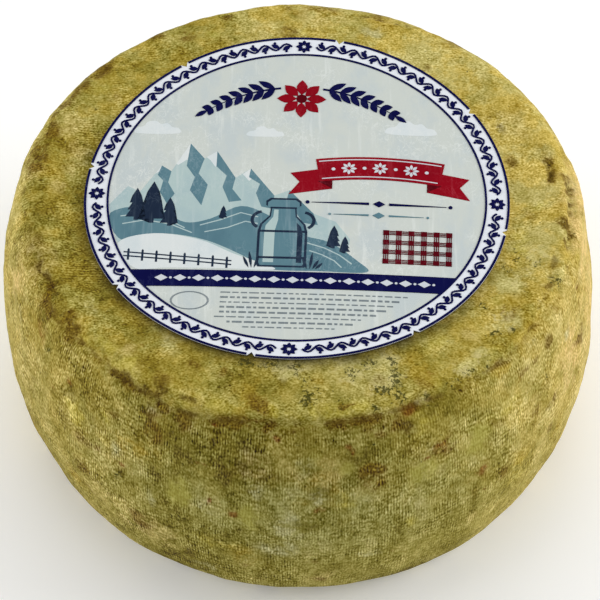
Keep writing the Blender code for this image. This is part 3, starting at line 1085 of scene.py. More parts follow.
    def broad_layers(self, azimuth: np.ndarray, height: np.ndarray, side: np.ndarray) -> Painted:
        """Find the broad changes of tone, tint and texture round the wheel.

        Args:
            azimuth: Azimuths in radians.
            height: Heights above the base.
            side: 1 on the side, 0 on the top face.

        Returns:
            Each layer under its name.
        """
        degrees = np.degrees(azimuth) % 360
        tones = (TOP_TONES, SIDE_TONES)
        top_tone, side_tone = (np.interp(degrees, *zip(*rows), period=360) for rows in tones)
        cool_side = self.cool_side + (1 - smoothstep(*self.low_side, height)) * self.cool_front.at(azimuth)
        ash_height, ash_width = self.ash_band
        blush = sum(lobe.at(azimuth) for lobe in self.blush_lobes)
        return {
            "side": side,
            "tone": top_tone + (side_tone - top_tone) * side,
            "cool": side * cool_side + (1 - side) * self.cool_top.at(azimuth),
            "ash": side * bell(height - ash_height, ash_width) * self.ash_front.at(azimuth),
            "blush": (self.top_blush + (1 - self.top_blush) * side) * blush,
            "rows": self.least_rows + self.rows_left.at(azimuth),
            "crisp": 1 + self.crisp_left.at(azimuth) + side * self.crisp_side.at(azimuth),
        }

    def rim_layers(self, points: np.ndarray, azimuth: np.ndarray, arc: np.ndarray,
                   off_crease: np.ndarray) -> Painted:
        """Find the painted shade in the hollows and round the label, and what follows the crease.

        Args:
            points: Places on the turned shape.
            azimuth: Azimuths in radians.
            arc: Arc of each place.
            off_crease: Distance of each place from the crease, positive below it.

        Returns:
            Each layer under its name.
        """
        form = self.form
        strength = form.crease_strength(azimuth)
        # Painted shade along the crease and in the rim hollows, with the mould's brown
        darkness, width = self.crease_hollow
        hollow = darkness * strength * bell(off_crease, form.crease_width * width)
        broken = smoothstep(*self.broken_edge, perlin(points, *self.broken))
        for mark in form.marks:
            if mark.rise < 0:
                hollow = np.maximum(hollow, self.mark_hollow * broken * mark.shape(azimuth, arc))
        # Painted shadow that the label's front edge throws on the top face, fading outwards
        hem = bell(np.maximum(form.off_label(points), 0), self.hem_width) * facing(azimuth, *self.hem_facing)
        kept, added = self.stained_shares
        stain = kept + added * smoothstep(*self.stained_edge, perlin(points, *self.stained))
        stain *= (self.least_stained + self.stained_left.at(azimuth)) * strength
        (stain_at, stain_width), (yellow, lip_at, lip_width) = self.stained_line, self.lip_yellow
        lip = bell(off_crease - lip_at, lip_width) * facing(azimuth, *self.lip_facing)
        return {
            "hollow": hollow,
            "hem": np.where(points[:, 2] > form.widest, hem, 0),
            "ribs": smoothstep(*self.rib_edge, off_crease + self.rib_lead * strength),
            Tint.BROWN.value: stain * bell(off_crease - stain_at, stain_width),
            Tint.YELLOW.value: yellow * lip,
        }

    def warp(self, points: np.ndarray, shifts: Sequence[Triple]) -> np.ndarray:
        """How far noise warps the stains at each point."""
        return sum(reach * perlin(points, size, shift) for (size, reach), shift in zip(self.warps, shifts))

    def paint(self, mesh: bpy.types.Mesh, points: np.ndarray) -> None:
        """Paint the layers that the rind's material reads on the mesh's points.

        Args:
            mesh: The mesh to paint.
            points: Places on the turned shape.
        """
        (azimuth, radius), arc = polar(points), self.form.arc_at(points)
        off_crease = arc - self.form.crease_line(points)
        side = smoothstep(-self.side_blend, self.side_blend, off_crease)
        layers = {tint.value: np.zeros(len(points)) for tint in Tint}
        layers.update(self.broad_layers(azimuth, points[:, 2], side))
        layers.update(self.rim_layers(points, azimuth, arc, off_crease))
        warp_along, warp_arc = (self.warp(points, shifts) for shifts in (self.along_shifts, self.arc_shifts))
        for tint, stain in self.stains():
            along = azimuth_gap(azimuth, stain.azimuth) * radius + warp_along
            across = arc - stain.arc * MM + warp_arc
            squared = (along / (stain.along * MM)) ** 2 + (across / (stain.across * MM)) ** 2
            layer = layers[tint.value]
            np.maximum(layer, stain.strength * np.exp(-self.stain_fall * squared), out=layer)
        for name, values in layers.items():
            layer = mesh.attributes.new(name, "FLOAT", "POINT")
            layer.data.foreach_set("value", values.astype(np.float32))

    def build(self) -> None:
        """Turn, paint and shape the wheel, and put it in place of the cheese's solid."""
        form = self.form
        wheel = spun(self.profile(), self.columns, MM * 0.01)
        mesh = bpy.data.meshes.new("rind")
        wheel.to_mesh(mesh)
        wheel.free()
        mesh.shade_smooth()
        points, normals = read_points(mesh), read_points(mesh, "normal")
        self.paint(mesh, points)
        bare = smoothstep(0, self.grain_fade, form.off_label(points))
        bare[points[:, 2] < form.widest] = 1.0
        bare *= smoothstep(0.0, form.base_calm_height, points[:, 2])
        grain = self.grain_rise * perlin(points * (1, 1, 0.6), *self.grain)
        grain += self.pore_rise * perlin(points * (1, 1, 0.5), *self.pore)
        moved = points + normals * (form.relief(points) + grain * bare)[:, None] + form.oval(points)
        upper = points[:, 2] > form.widest
        moved[upper, 2] += form.saddle(points[upper])
        moved[:, 2] = np.maximum(moved[:, 2], 0.0)
        write_points(mesh, moved)
        mesh.materials.append(self.finish.material())
        rind = add_object("rind", mesh)
        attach(rind, "root")
        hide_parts("cheese_wheel")
        LOG.info("rind: %d points, %d stains", len(points), len(self.stains()))


@dataclass(frozen=True)
class PaperFinish:
    """Coated paper, bare or printed, with a faint mottle, pale streaks and fine scratches.

    Smudge is the colour of its clouds and smudged how strong they are, and scratch and scratched say the
    same of its streaks and scratches. Each row of lines holds the scale and width of scratches of a size,
    and hairline is the share of that width that their cores take.
    """

    name: str = "label_paper"
    colour: Colour = screen(238, 242, 248)
    smudge: Colour = screen(222, 229, 238)
    smudged: float = 0.4
    scratch: Colour = screen(248, 250, 252)
    scratched: float = 0.3
    shine: float = 0.12
    roughness: float = 0.5
    clouds: Speckle = Speckle(60, 5, 0.42, 0.66, 0.0, 1.0, 0.65, 0.2, (1, 0.55, 1), (1.3, 0.2, 0))
    streaks: Speckle = Speckle(380, 3, 0.54, 0.72, 0.0, 1.0, 0.6, 0.0, (1, 0.08, 1), (0.7, 0.4, 0))
    rubbed: Speckle = Speckle(45, 3, 0.42, 0.62, shift=(2, 8, 0))
    lines: tuple[Pair, ...] = ((110, 0.010), (330, 0.022))
    hairline: float = 0.3
    fibres: Speckle = Speckle(240, 3)
    bump_strength: float = 0.12
    bump_depth: float = 0.0002

    def material(self) -> bpy.types.Material:
        """Write the material.

        Returns:
            The material.
        """
        graph = Graph(self.name)
        place = graph.position()
        cloud = graph.times(self.clouds.mask(graph, place), self.smudged)
        streak = graph.times(self.streaks.mask(graph, place), self.scratched)
        colour = graph.mix(streak, graph.mix(cloud, self.colour, self.smudge), self.scratch)
        for scale, width in self.lines:
            line = Speckle(scale, 3, self.hairline * width, width, self.scratched, 0.0, 0.6, 0.6,
                           (1, 0.7, 1), (5, 5, 0))
            near = line.ease(graph, graph.math("ABSOLUTE", graph.off_half(line.noise(graph, place))))
            colour = graph.mix(graph.times(near, self.rubbed.mask(graph, place)), colour, self.scratch)
        graph.settle(base_color=colour, roughness=self.roughness, specular_ior_level=self.shine)
        graph.bump(self.fibres.noise(graph, place), self.bump_strength, self.bump_depth)
        return graph.material


class Ink(Enum):
    """Colours of the print, each with its finish."""

    FIELD = PaperFinish("print_field", screen(210, 216, 209), screen(194, 206, 210), 0.6,
                        screen(230, 235, 230), 0.55)
    TEAL = PaperFinish("print_teal", screen(182, 203, 201), screen(168, 192, 196), 0.7,
                       screen(206, 218, 216), 0.4)
    MIST = PaperFinish("print_mist", screen(226, 232, 231), screen(212, 223, 226), 0.7,
                       screen(238, 242, 240), 0.3)
    GREY = PaperFinish("print_grey", screen(126, 136, 140), screen(112, 122, 128), 0.6,
                       screen(168, 174, 176), 0.4, 0.05)
    SLATE = PaperFinish("print_slate", screen(96, 133, 145), screen(84, 120, 134), 0.7,
                        screen(150, 174, 182), 0.4, 0.05)
    DUSK = PaperFinish("print_dusk", screen(30, 43, 64), screen(44, 60, 82), 0.6,
                       screen(92, 108, 122), 0.25, 0.03)
    RED = PaperFinish("print_red", screen(146, 6, 26), screen(128, 4, 22), 0.6,
                      screen(186, 70, 84), 0.25, 0.03)
    WINE = PaperFinish("print_wine", screen(92, 2, 16), screen(78, 2, 14), 0.6,
                       screen(140, 62, 74), 0.25, 0.03)
    NAVY = PaperFinish("print_navy", screen(8, 10, 66), screen(12, 16, 76), 0.5,
                       screen(60, 66, 112), 0.2, 0.03)
    CREAM = PaperFinish("print_cream", screen(214, 219, 224), screen(200, 208, 216), 0.6,
                        screen(230, 233, 235), 0.3)


def ring_part(ring: Pair, start: float, end: float, steps: int, centre: Point2 = (0.0, 0.0)) -> Outline:
    """A stretch of a ring, of an outer and an inner radius, between two angles in degrees."""
    return arc_points(ring[0], start, end, steps, centre) + arc_points(ring[1], end, start, steps, centre)


def disc(centre: Point2, radius: float, corners: int) -> Outline:
    """A round dot with a number of corners."""
    return arc_points(radius, 0, 360 - 360 / corners, corners - 1, centre)


def box(left: float, top: float, width: float, height: float) -> Outline:
    """An upright box hung from its top left corner."""
    return [(left, top - height), (left + width, top - height), (left + width, top), (left, top)]


def lozenge(centre: Point2, half: float, rise: float) -> Outline:
    """A lozenge with half its width and half its height."""
    u, v = centre
    return [(u - half, v), (u, v + rise), (u + half, v), (u, v - rise)]


def mirrored(outline: Sequence[Point2]) -> Outline:
    """An outline seen in a mirror, its points in backward order."""
    return [(-u, v) for u, v in reversed(outline)]


def placed(outline: Iterable[Point2], centre: Point2, degrees: float = 0.0, scale: float = 1.0) -> Outline:
    """An outline scaled, turned and moved to its place."""
    turn = Matrix.Rotation(math.radians(degrees), 2)
    return [tuple(turn @ Vector(point) * scale + Vector(centre)) for point in outline]


def smooth_loop(anchors: Sequence[Point2], steps: int = 5) -> Outline:
    """Draw a closed smooth outline.

    Args:
        anchors: Points that the outline passes through.
        steps: Points for each stretch between anchors.

    Returns:
        The outline's points in order.
    """
    count = len(anchors)
    outline = []
    for index in range(count):
        before, first, last, after = (Vector(anchors[(index + shift) % count]) for shift in (-1, 0, 1, 2))
        for step in range(steps):
            t = step / steps
            point = first * 2 + (last - before) * t
            point += (before * 2 - first * 5 + last * 4 - after) * t * t
            point += (first * 3 - before - last * 3 + after) * t**3
            outline.append(tuple(point / 2))
    return outline


def leaf(length: float, width: float, steps: int = 5) -> Outline:
    """Pointed leaf that starts at the origin and lies along u, of a width at its middle."""
    upper = [(length * k / steps, width / 2 * math.sin(math.pi * k / steps)) for k in range(steps + 1)]
    return upper + [(u, -v) for u, v in reversed(upper[1:-1])]


def flower(centre: Point2, petal: float, width: float, turn: float = 0.0, count: int = 8) -> list[Outline]:
    """Draw pointed petals round a centre.

    Args:
        centre: The centre.
        petal: Length of a petal.
        width: Width of a petal.
        turn: Angle of the first petal in degrees.
        count: How many petals there are.

    Returns:
        The outlines.
    """
    leans = [turn + 360 * index / count for index in range(count)]
    starts = [placed([(petal * 0.25, 0.0)], centre, lean)[0] for lean in leans]
    return [placed(leaf(petal, width), start, lean) for start, lean in zip(starts, leans)]


def stroke(line: Sequence[Point2], width: float, taper: float = 0.0) -> Outline:
    """Draw a pen stroke.

    Args:
        line: Points of the line that it follows.
        width: Width of the stroke.
        taper: Share of its width that it has lost at its end.

    Returns:
        The outline's points in order.
    """
    left, right = [], []
    for index, point in enumerate(line):
        before, after = line[max(index - 1, 0)], line[min(index + 1, len(line) - 1)]
        along = (Vector(after) - Vector(before)).normalized()
        half = width / 2 * (1 - taper * index / (len(line) - 1))
        across = Vector((-along.y, along.x)) * half
        left.append(tuple(Vector(point) + across))
        right.append(tuple(Vector(point) - across))
    return left + right[::-1]


@dataclass(frozen=True)
class Layer:
    """Closed outlines of one colour that are printed together, in the design's units."""

    ink: Ink
    shapes: Sequence[Outline]


# The picture, in the design's units from the label's centre: u right, v back
CLOUD = ((-9, -1.6), (-8.6, 1), (-5.6, 2), (-4.2, 4.2), (-1, 4.8), (1.4, 3.2), (4, 3.6), (6, 1.6), (8.6, 1),
         (9, -1.6), (0, -2.2))
CLOUDS_AT = ((-58, 34, 1.0), (-14, 33, 0.8), (45, 37, 1.1))
MOUNTAINS = ((-75, -6), (-68, 4), (-63, 1), (-55, 15), (-51, 12), (-44, 27), (-38, 19), (-33, 23), (-25, 9),
             (-19, 14), (-9, 0), (-3, 3), (7, -9), (16, -13), (22, -22), (20, -36), (-64, -36), (-71, -24))
SLOPES = (
    ((-44, 27), (-38, 19), (-40, 11), (-36, 5), (-38, -6), (-43, 2), (-41.4, 9), (-45, 15)),
    ((-55, 15), (-51, 12), (-52, 6), (-49, 0), (-52, -5), (-55, 1), (-54, 7), (-56.4, 10)),
    ((-33, 23), (-25, 9), (-26, 3), (-22, -3), (-27, -4), (-30, 4), (-28.6, 10), (-33, 15)),
    ((-19, 14), (-9, 0), (-9.6, -7), (-14, -6), (-16.4, 1), (-15, 6), (-19.6, 9.4)),
    ((-3, 3), (7, -9), (9, -15), (3, -14), (-1, -7), (-4, -2)),
)
SNOW = (
    ((-55, 15), (-52.2, 12.8), (-53.4, 10.2), (-55.4, 12.2), (-57.6, 10.4)),
    ((-44, 27), (-38.4, 19.6), (-38.6, 16), (-41, 19), (-42.6, 13.6), (-45, 18.4), (-48.4, 15.4),
     (-49.2, 16)),
    ((-33, 23), (-29.4, 16.6), (-31.6, 17.6), (-33.4, 14.6), (-35.6, 18.2), (-37.2, 19.8)),
    ((-19, 14), (-15.2, 8.6), (-17.6, 9.8), (-19.4, 7.4), (-22.2, 11.0)),
)
HILLS = ((-75, -12), (-66, -7), (-54, -9), (-44, -15), (-34, -13), (-22, -6), (-10, -11), (2, -20), (14, -24),
         (25, -33), (29, -39), (10, -39.2), (-10, -38.6), (-20, -32), (-36, -24), (-54, -21), (-68, -25))
FURROWS = (
    ((-70, -12), (-62, -10.5), (-53, -12.5), (-44, -18)),
    ((-69, -16), (-60, -14), (-50, -16), (-41, -20.5)),
    ((-38, -16.5), (-30, -13.5), (-22, -9.5), (-15, -11.5)),
    ((-36, -20), (-27, -17.5), (-20, -14), (-15, -15)),
    ((5, -24.5), (12, -27), (18, -30.5), (23, -35)),
    ((6, -28.5), (11, -30.5), (16, -33.5), (19, -37)),
)
MEADOW = ((-70, -26), (-56, -21), (-38, -24), (-24, -31), (-12, -36), (-8, -39), (-30, -39), (-50, -39),
          (-63, -39))
# Half outline of a fir of height 1, and the foot and height of each fir
FIR = ((0.04, 0.0), (0.04, 0.1), (0.24, 0.1), (0.13, 0.32), (0.2, 0.32), (0.1, 0.54), (0.16, 0.54),
       (0.07, 0.76), (0.11, 0.76), (0.0, 1.0))
FIRS_AT = ((-64, -14, 17), (-57.5, -15.5, 22), (-50.5, -17, 15), (15.5, -27, 12), (20, -29.5, 9),
           (-29, -13, 7))
# The milk churn, from the middle of its foot
CHURN = ((9.0, 1.2), (9.0, 17), (8.2, 20.5), (5.0, 24.5), (4.6, 28.5), (6.4, 29.5), (6.4, 31.6), (4.8, 33))
CHURN_LIGHT = ((-6.6, 2.2), (-2.8, 2.2), (-2.8, 17.5), (-1.8, 22.5), (-1.8, 27.4), (-3.4, 27.4), (-3.6, 24.0),
               (-6.2, 19.8), (-6.6, 16))
CHURN_SHADE = ((7.3, 2.2), (7.3, 16), (6.6, 19.4), (5.0, 21.4), (5.4, 16), (5.4, 2.2))
CHURN_BANDS = ((-8.9, 5.0, 17.8, 1.0), (-8.9, 17.6, 17.8, 1.0), (-4.8, 28.7, 9.6, 0.8))
GRASS = ((-11.5, 6, 112), (-10.5, 8, 98), (-9.6, 6, 74), (9.4, 6, 108), (10.4, 8, 84), (11.4, 5, 64),
         (12.4, 4, 50))
# Tail and fold of the ribbon, from its middle
TAIL = ((19, 15.6), (36.0, 12.2), (32.2, 7.6), (36.4, 1.0), (19, 4.4))
FOLD = ((25.0, 8.2), (19, 9.0), (19, 4.4))


@dataclass(frozen=True)
class LabelDesign:
    """A plain country design for the label, in units from its centre, u right and v back.

    From outside in it has the edge line with a gap at each notch, the ring with its vine, the line round
    the field, made of parts, and the field. Pairs hold an outer and an inner radius, and fields that end
    in notch, half or span are in degrees.
    """

    edge: Pair = (85.33, 84.35)
    ring_middle: float = 80.3
    line_outer: float = 76.3
    line_inner: float = 75.4
    first_notch: float = 35.1
    notch_count: int = 8
    notch_half: float = 1.2
    line_parts: int = 24
    line_span: float = 14.98
    rosettes: int = 4
    rosette_half: float = 3.6
    waves: int = 13
    wave_rise: float = 1.6
    band_rows: tuple[float, ...] = (-40.0, -43, -46, -48.6)
    cloth_corner: Point2 = (35.0, -16.5)
    cloth_side: float = 2.5
    cloth_rows: int = 7
    cloth_columns: int = 11
    thread_shifts: Triple = (0.3, 1.1, 1.9)
    thread: float = 0.4
    ribbon_centre: Point2 = (33, -134)
    ribbon: Pair = (156, 144)
    random_seed: int = 5

    def ring_lines(self) -> list[Outline]:
        """Draw the edge line, broken at each notch, and the line round the field.

        Returns:
            The outlines.
        """
        shapes = []
        spacing = 360 / self.notch_count
        for index in range(self.notch_count):
            start = self.first_notch + index * spacing
            end = start + spacing - self.notch_half
            shapes.append(ring_part(self.edge, start + self.notch_half, end, 42))
        for index in range(self.line_parts):
            start = 360 / self.line_parts * index
            line = (self.line_outer, self.line_inner)
            shapes.append(ring_part(line, start, start + self.line_span, 6))
        return shapes

    def garland(self) -> list[Outline]:
        """Draw a leafy vine round the white ring, with a flower between its lengths.

        Returns:
            The outlines.
        """
        shapes = []
        length = 360 / self.rosettes
        step = (length - 2 * self.rosette_half) / (self.waves * 8)
        for side in range(self.rosettes):
            shapes += flower(on_arc(self.ring_middle, length * side), 2.7, 1.7, length * side)
            first = length * side + self.rosette_half
            line = []
            for index in range(self.waves * 8 + 1):
                reach = self.ring_middle + self.wave_rise * math.sin(index * math.pi / 4)
                line.append(on_arc(reach, first + step * index))
            shapes.append(stroke(line, 0.8))
            for lobe in range(self.waves * 2):
                way = -1 if lobe % 2 else 1
                azimuth = first + step * (4 * lobe + 2)
                foot = on_arc(self.ring_middle + 0.5 * way, azimuth - 1.15)
                shapes.append(placed(leaf(3.9, 2.2), foot, azimuth + 90 + 34 * way))
                shapes.append(disc(on_arc(self.ring_middle - 2.3 * way, azimuth + 0.1), 0.6, 8))
        return shapes

    def inside_field(self, line: Sequence[Point2]) -> Outline:
        """Pull points that lie outside the field back to its edge."""
        return [tuple(Vector(point) * min(1.0, self.line_inner / Vector(point).length)) for point in line]

    def fence(self) -> list[Outline]:
        """Draw posts and two rails across the meadow.

        Returns:
            The outlines.
        """
        shapes = []
        for index in range(8):
            u, v = -66 + 5.6 * index, -29.5 - 0.55 * index
            shapes.append([(u, v - 5.4), (u + 0.9, v - 5.4), (u + 0.9, v), (u + 0.45, v + 0.8), (u, v)])
        for drop in (1.4, 3.4):
            shapes.append(stroke([(-67.5, -29.3 - drop), (-47, -31.4 - drop), (-24.5, -33.5 - drop)], 0.7))
        return shapes

    def firs(self) -> list[Outline]:
        """Firs on the hills, large at the left and small at the right."""
        fir = [*FIR, *mirrored(FIR[:-1])]
        return [placed(fir, (u, v), 0, height) for u, v, height in FIRS_AT]

    def churn(self) -> list[Layer]:
        """Draw a milk churn in front of the hills, with grass at its foot.

        Returns:
            The layers from the lowest up.
        """
        body = [(-8.4, 0), (8.4, 0), *CHURN, *mirrored(CHURN)]
        inner = [(u * 0.9, 0.8 + v * 0.95) for u, v in body]
        grip = stroke(arc_points(4.0, -60, 80, 9, (7.2, 22.4)), 1.2)
        grass = [placed(leaf(size, 1.1), (u, -0.6), lean) for u, size, lean in GRASS]
        front = [CHURN_SHADE, *(box(*band) for band in CHURN_BANDS), *grass]
        parts = ((Ink.DUSK, [body, grip, mirrored(grip)]), (Ink.SLATE, [inner]), (Ink.TEAL, [CHURN_LIGHT]),
                 (Ink.DUSK, front))
        foot, scale = (-5.0, -37.6), 1.1
        return [Layer(ink, [placed(shape, foot, 0, scale) for shape in shapes]) for ink, shapes in parts]

    def sprigs(self) -> list[Outline]:
        """Draw two leafy sprigs that lean towards each other under the top of the field.

        Returns:
            The outlines.
        """
        shapes = []
        for way in (1, -1):
            stem = [(way * u, v) for u, v in arc_points(62, 82, 52, 14, (0, -4))]
            shapes.append(stroke(stem, 0.9, 0.9))
            for index in range(1, len(stem), 2):
                run = Vector(stem[index]) - Vector(stem[index - 1])
                lean = math.degrees(math.atan2(run.y, run.x))
                for spread in (38, -38):
                    shapes.append(placed(leaf(8.4 - 0.32 * index, 2.9), stem[index], lean + spread))
            shapes.append(placed(leaf(6.0, 2.2), stem[-1], lean))
        return shapes

    def banner(self) -> list[Layer]:
        """Draw a bare ribbon with folded tails, fine lines along its edges and small flowers on it.

        Returns:
            The layers from the lowest up.
        """
        centre = self.ribbon_centre
        middle = sum(self.ribbon) / 2
        body = ring_part(self.ribbon, 99.6, 80.4, 24, centre)
        trim = [stroke(arc_points(middle + way * 4.6, 99.2, 80.8, 24, centre), 0.5) for way in (1, -1)]
        for lean in (94.8, 90, 85.2):
            trim += flower(on_arc(middle, lean, centre), 2.6, 1.3)
        trim += [disc(on_arc(middle, lean, centre), 0.8, 12) for lean in (97.2, 92.4, 87.6, 82.8)]
        ends = [[(centre[0] + way * u, v) for u, v in shape] for shape in (TAIL, FOLD) for way in (1, -1)]
        return [Layer(Ink.RED, ends[:2]), Layer(Ink.WINE, ends[2:]), Layer(Ink.RED, [body]),
                Layer(Ink.CREAM, trim)]

    def flourish(self, centre: Point2, half: float, width: float) -> list[Outline]:
        """Draw two tapering lines with a lozenge between them and a dot at each end.

        Args:
            centre: Middle of the lozenge.
            half: Reach of each line from there.
            width: Width of a line at its start.

        Returns:
            The outlines.
        """
        u, v = centre
        shapes = [lozenge(centre, 2.4, 1.6)]
        for way in (1, -1):
            shapes.append(stroke([(u + way * reach, v) for reach in (4, half * 0.6, half)], width, 0.9))
            shapes.append(disc((u + way * (half + 1.6), v), width * 0.7, 10))
        return shapes

    def cloth(self) -> list[Outline]:
        """Draw a checked cloth at the lower right: full squares, and striped ones between them.

        Returns:
            The outlines.
        """
        shapes, side, shifts = [], self.cloth_side, self.thread_shifts
        length = side - 0.2
        for row in range(self.cloth_rows):
            for column in range(self.cloth_columns):
                u, v = self.cloth_corner[0] + column * side, self.cloth_corner[1] - row * side
                if row % 2 == 0 and column % 2 == 0:
                    shapes.append(box(u, v, side, side))
                elif row % 2 == 0:
                    shapes += [box(u + 0.1, v - drop, length, self.thread) for drop in shifts]
                elif column % 2 == 0:
                    shapes += [box(u + shift, v - 0.1, self.thread, length) for shift in shifts]
        return shapes

    def band(self) -> list[Outline]:
        """The dark band across the lower field."""
        right = [(math.sqrt(self.line_inner**2 - v * v), v) for v in self.band_rows]
        return [right + mirrored(right)]

    def lozenges(self) -> list[Outline]:
        """Draw pale lozenges and dots along the band.

        Returns:
            The outlines.
        """
        middle = (self.band_rows[0] + self.band_rows[-1]) / 2
        shapes = []
        for u in (7.4 * index for index in range(-7, 8)):
            shapes += [lozenge((u, middle), 2.6, 1.7), disc((u + 3.7, middle), 0.6, 8)]
        return shapes

    def dashes(self) -> list[Outline]:
        """Draw rows of fine dashes below the band, and a plain oval beside them.

        Returns:
            The outlines.
        """
        draw = random.Random(self.random_seed)
        shapes = []
        for row in range(8):
            v = -51.4 - 2.55 * row
            half = math.sqrt(73.5**2 - v * v) - 6
            u = max(-half, -28) if row < 5 else -half
            rise = 0.46 if row in (1, 3, 4, 6) else 0.3
            while u < half - 1.6:
                length = min(draw.choice((1.2, 1.8, 2.4, 3.0, 3.8)), half - u)
                shapes.append(box(u, v + rise, length, 2 * rise))
                u += length + 0.9
        for start in (0, 180):
            oval = ring_part((4.8, 4.3), start + 1, start + 179, 20)
            shapes.append([(-40 + 1.6 * u, -56 + v) for u, v in oval])
        return shapes

    def layers(self) -> list[Layer]:
        """Put the whole print together.

        Returns:
            The layers from the lowest up.
        """
        hills, meadow = (self.inside_field(smooth_loop(line)) for line in (HILLS, MEADOW))
        sky = [placed(smooth_loop(CLOUD), (u, v), 0, scale) for u, v, scale in CLOUDS_AT]
        return [
            Layer(Ink.FIELD, [disc((0, 0), self.line_inner + 0.3, 360)]),
            Layer(Ink.TEAL, [self.inside_field(MOUNTAINS)]),
            Layer(Ink.MIST, [*sky, *SNOW]),
            Layer(Ink.SLATE, [*SLOPES, hills]),
            Layer(Ink.TEAL, [stroke(line, 0.55) for line in FURROWS]),
            Layer(Ink.MIST, [meadow]),
            Layer(Ink.GREY, self.dashes()),
            Layer(Ink.DUSK, self.firs() + self.fence()),
            *self.churn(),
            *self.banner(),
            Layer(Ink.WINE, self.cloth()),
            Layer(Ink.RED, flower((0, 52), 8.0, 4.6)),
            Layer(Ink.WINE, [disc((0, 52), 2.2, 18)]),
            Layer(Ink.SLATE, self.flourish((33, -9), 18, 0.8)),
            Layer(Ink.NAVY, self.garland() + self.band() + self.sprigs() + self.ring_lines()),
            Layer(Ink.NAVY, self.flourish((33, -3), 27, 1.2)),
            Layer(Ink.CREAM, self.lozenges()),
        ]


@dataclass
class PaperLabel:
    """The round paper label with its notched edge, and the print on it.

    Attributes:
        form: Sizes of the wheel that it lies on.
        thickness: Thickness of the paper.
        gap: Height of the paper above the rind.
        columns: Divisions round the label.
        rows: Divisions from its centre to its edge.
        notch_count: Small notches round the edge.
        notch_azimuth: Azimuth of the first notch in degrees.
        notch_depth: Depth of a notch.
        lift: How far the front edge stands further off the rind.
        lift_inside: Radius from which the edge lifts.
        print_turn: How far the print is turned on the wheel, in degrees.
        cut: Spacing of the cuts that let the print follow the paper.
        cut_shift: How far the cuts are shifted off the centre, as a share of their spacing.
        unit: Length of one unit of the design.
        print_foot: Height of the print's underside, within the paper.
        first_film: Height of the lowest layer over the paper.
        film: How far each layer stands over the one before.
    """

    form: WheelForm
    thickness: float = 0.0003
    gap: float = 0.0003
    columns: int = 360
    rows: int = 44
    notch_count: int = 8
    notch_azimuth: float = 32.9
    notch_depth: float = 0.0019
    lift: float = 0.0003
    lift_inside: float = 0.0740
    print_turn: float = -2.2
    cut: float = 0.0026
    cut_shift: float = 0.37
    unit: float = 0.00099
    print_foot: float = 0.0001
    first_film: float = 0.00003
    film: float = 0.000012

    def bed(self, places: np.ndarray) -> np.ndarray:
        """Find the height of the paper's underside.

        Args:
            places: Places from the label's centre, X and Y in each row.

        Returns:
            One height for each place.
        """
        azimuth, radius = polar(places)
        front = 0.5 - 0.5 * np.sin(azimuth)
        edge = smoothstep(self.lift_inside, self.form.label_radius, radius)
        on_wheel = places + np.array(self.form.label_centre)
        return self.form.label_bed(on_wheel) + self.gap + self.lift * edge * front**2

    def lay(self, shape: bmesh.types.BMesh, finish: PaperFinish, degrees: float) -> bpy.types.Object:
        """Make an object of a flat shape, lay it on the wheel and dress it.

        Args:
            shape: Shape round the label's centre, with heights from the paper's underside. It is freed.
            finish: Finish of the piece, which gives it its name.
            degrees: How far it is turned about the label's centre.

        Returns:
            The piece.
        """
        mesh = bpy.data.meshes.new(finish.name)
        shape.to_mesh(mesh)
        shape.free()
        points = read_points(mesh)
        flat = points[:, :2] @ np.array(Matrix.Rotation(math.radians(degrees), 2)).T
        points[:, 2] += self.bed(flat)
        points[:, :2] = flat + np.array(self.form.label_centre)
        write_points(mesh, points)
        mesh.materials.append(finish.material())
        piece = add_object(finish.name, mesh)
        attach(piece, "root")
        return piece

    def build_paper(self) -> None:
        """Spin the paper as a thin closed disc, notch its edge and lay it down."""
        radius = self.form.label_radius
        section = [(radius * row / self.rows, self.thickness) for row in range(self.rows + 1)]
        section += [(reach, 0.0) for reach, _ in reversed(section)]
        paper = spun(section, self.columns, self.thickness / 10)
        spacing = self.columns // self.notch_count
        for vert in paper.verts:
            column = round(math.atan2(vert.co.y, vert.co.x) / math.tau * self.columns)
            if vert.co.xy.length > radius * 0.999 and column % spacing == 0:
                vert.co.xy *= 1 - self.notch_depth / radius
        piece = self.lay(paper, PaperFinish(), self.notch_azimuth)
        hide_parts("paper_label")
        LOG.info("label_paper: %d notches", self.notch_count)

    def print_ink(self, ink: Ink, layers: Sequence[Layer]) -> None:
        """Print every shape of one colour as thin films that follow the paper.

        Args:
            ink: The colour.
            layers: Every layer of the print from the lowest up.
        """
        film = bmesh.new()
        for level, layer in enumerate(layers):
            top = self.thickness + self.first_film + self.film * level
            for outline in layer.shapes if layer.ink is ink else ():
                film.faces.new([film.verts.new((u * self.unit, v * self.unit, top)) for u, v in outline])
        bmesh.ops.triangulate(film, faces=film.faces)
        count = math.ceil(self.form.label_radius / self.cut)
        for axis in ((1, 0, 0), (0, 1, 0)):
            for index in range(-count, count + 1):
                place = Vector(axis) * (index + self.cut_shift) * self.cut
                bmesh.ops.bisect_plane(film, geom=film.verts[:] + film.edges[:] + film.faces[:], dist=1e-7,
                                       plane_co=place, plane_no=axis)
        under = film.verts[:]
        bmesh.ops.extrude_face_region(film, geom=film.faces[:], use_keep_orig=True)
        for vert in under:
            vert.co.z = self.print_foot
        bmesh.ops.recalc_face_normals(film, faces=film.faces)
        self.lay(film, ink.value, self.print_turn)
        LOG.info("%s: printed", ink.value.name)

    def build(self) -> None:
        """Build the paper and print each colour on it."""
        self.build_paper()
        layers = LabelDesign().layers()
        for ink in Ink:
            self.print_ink(ink, layers)


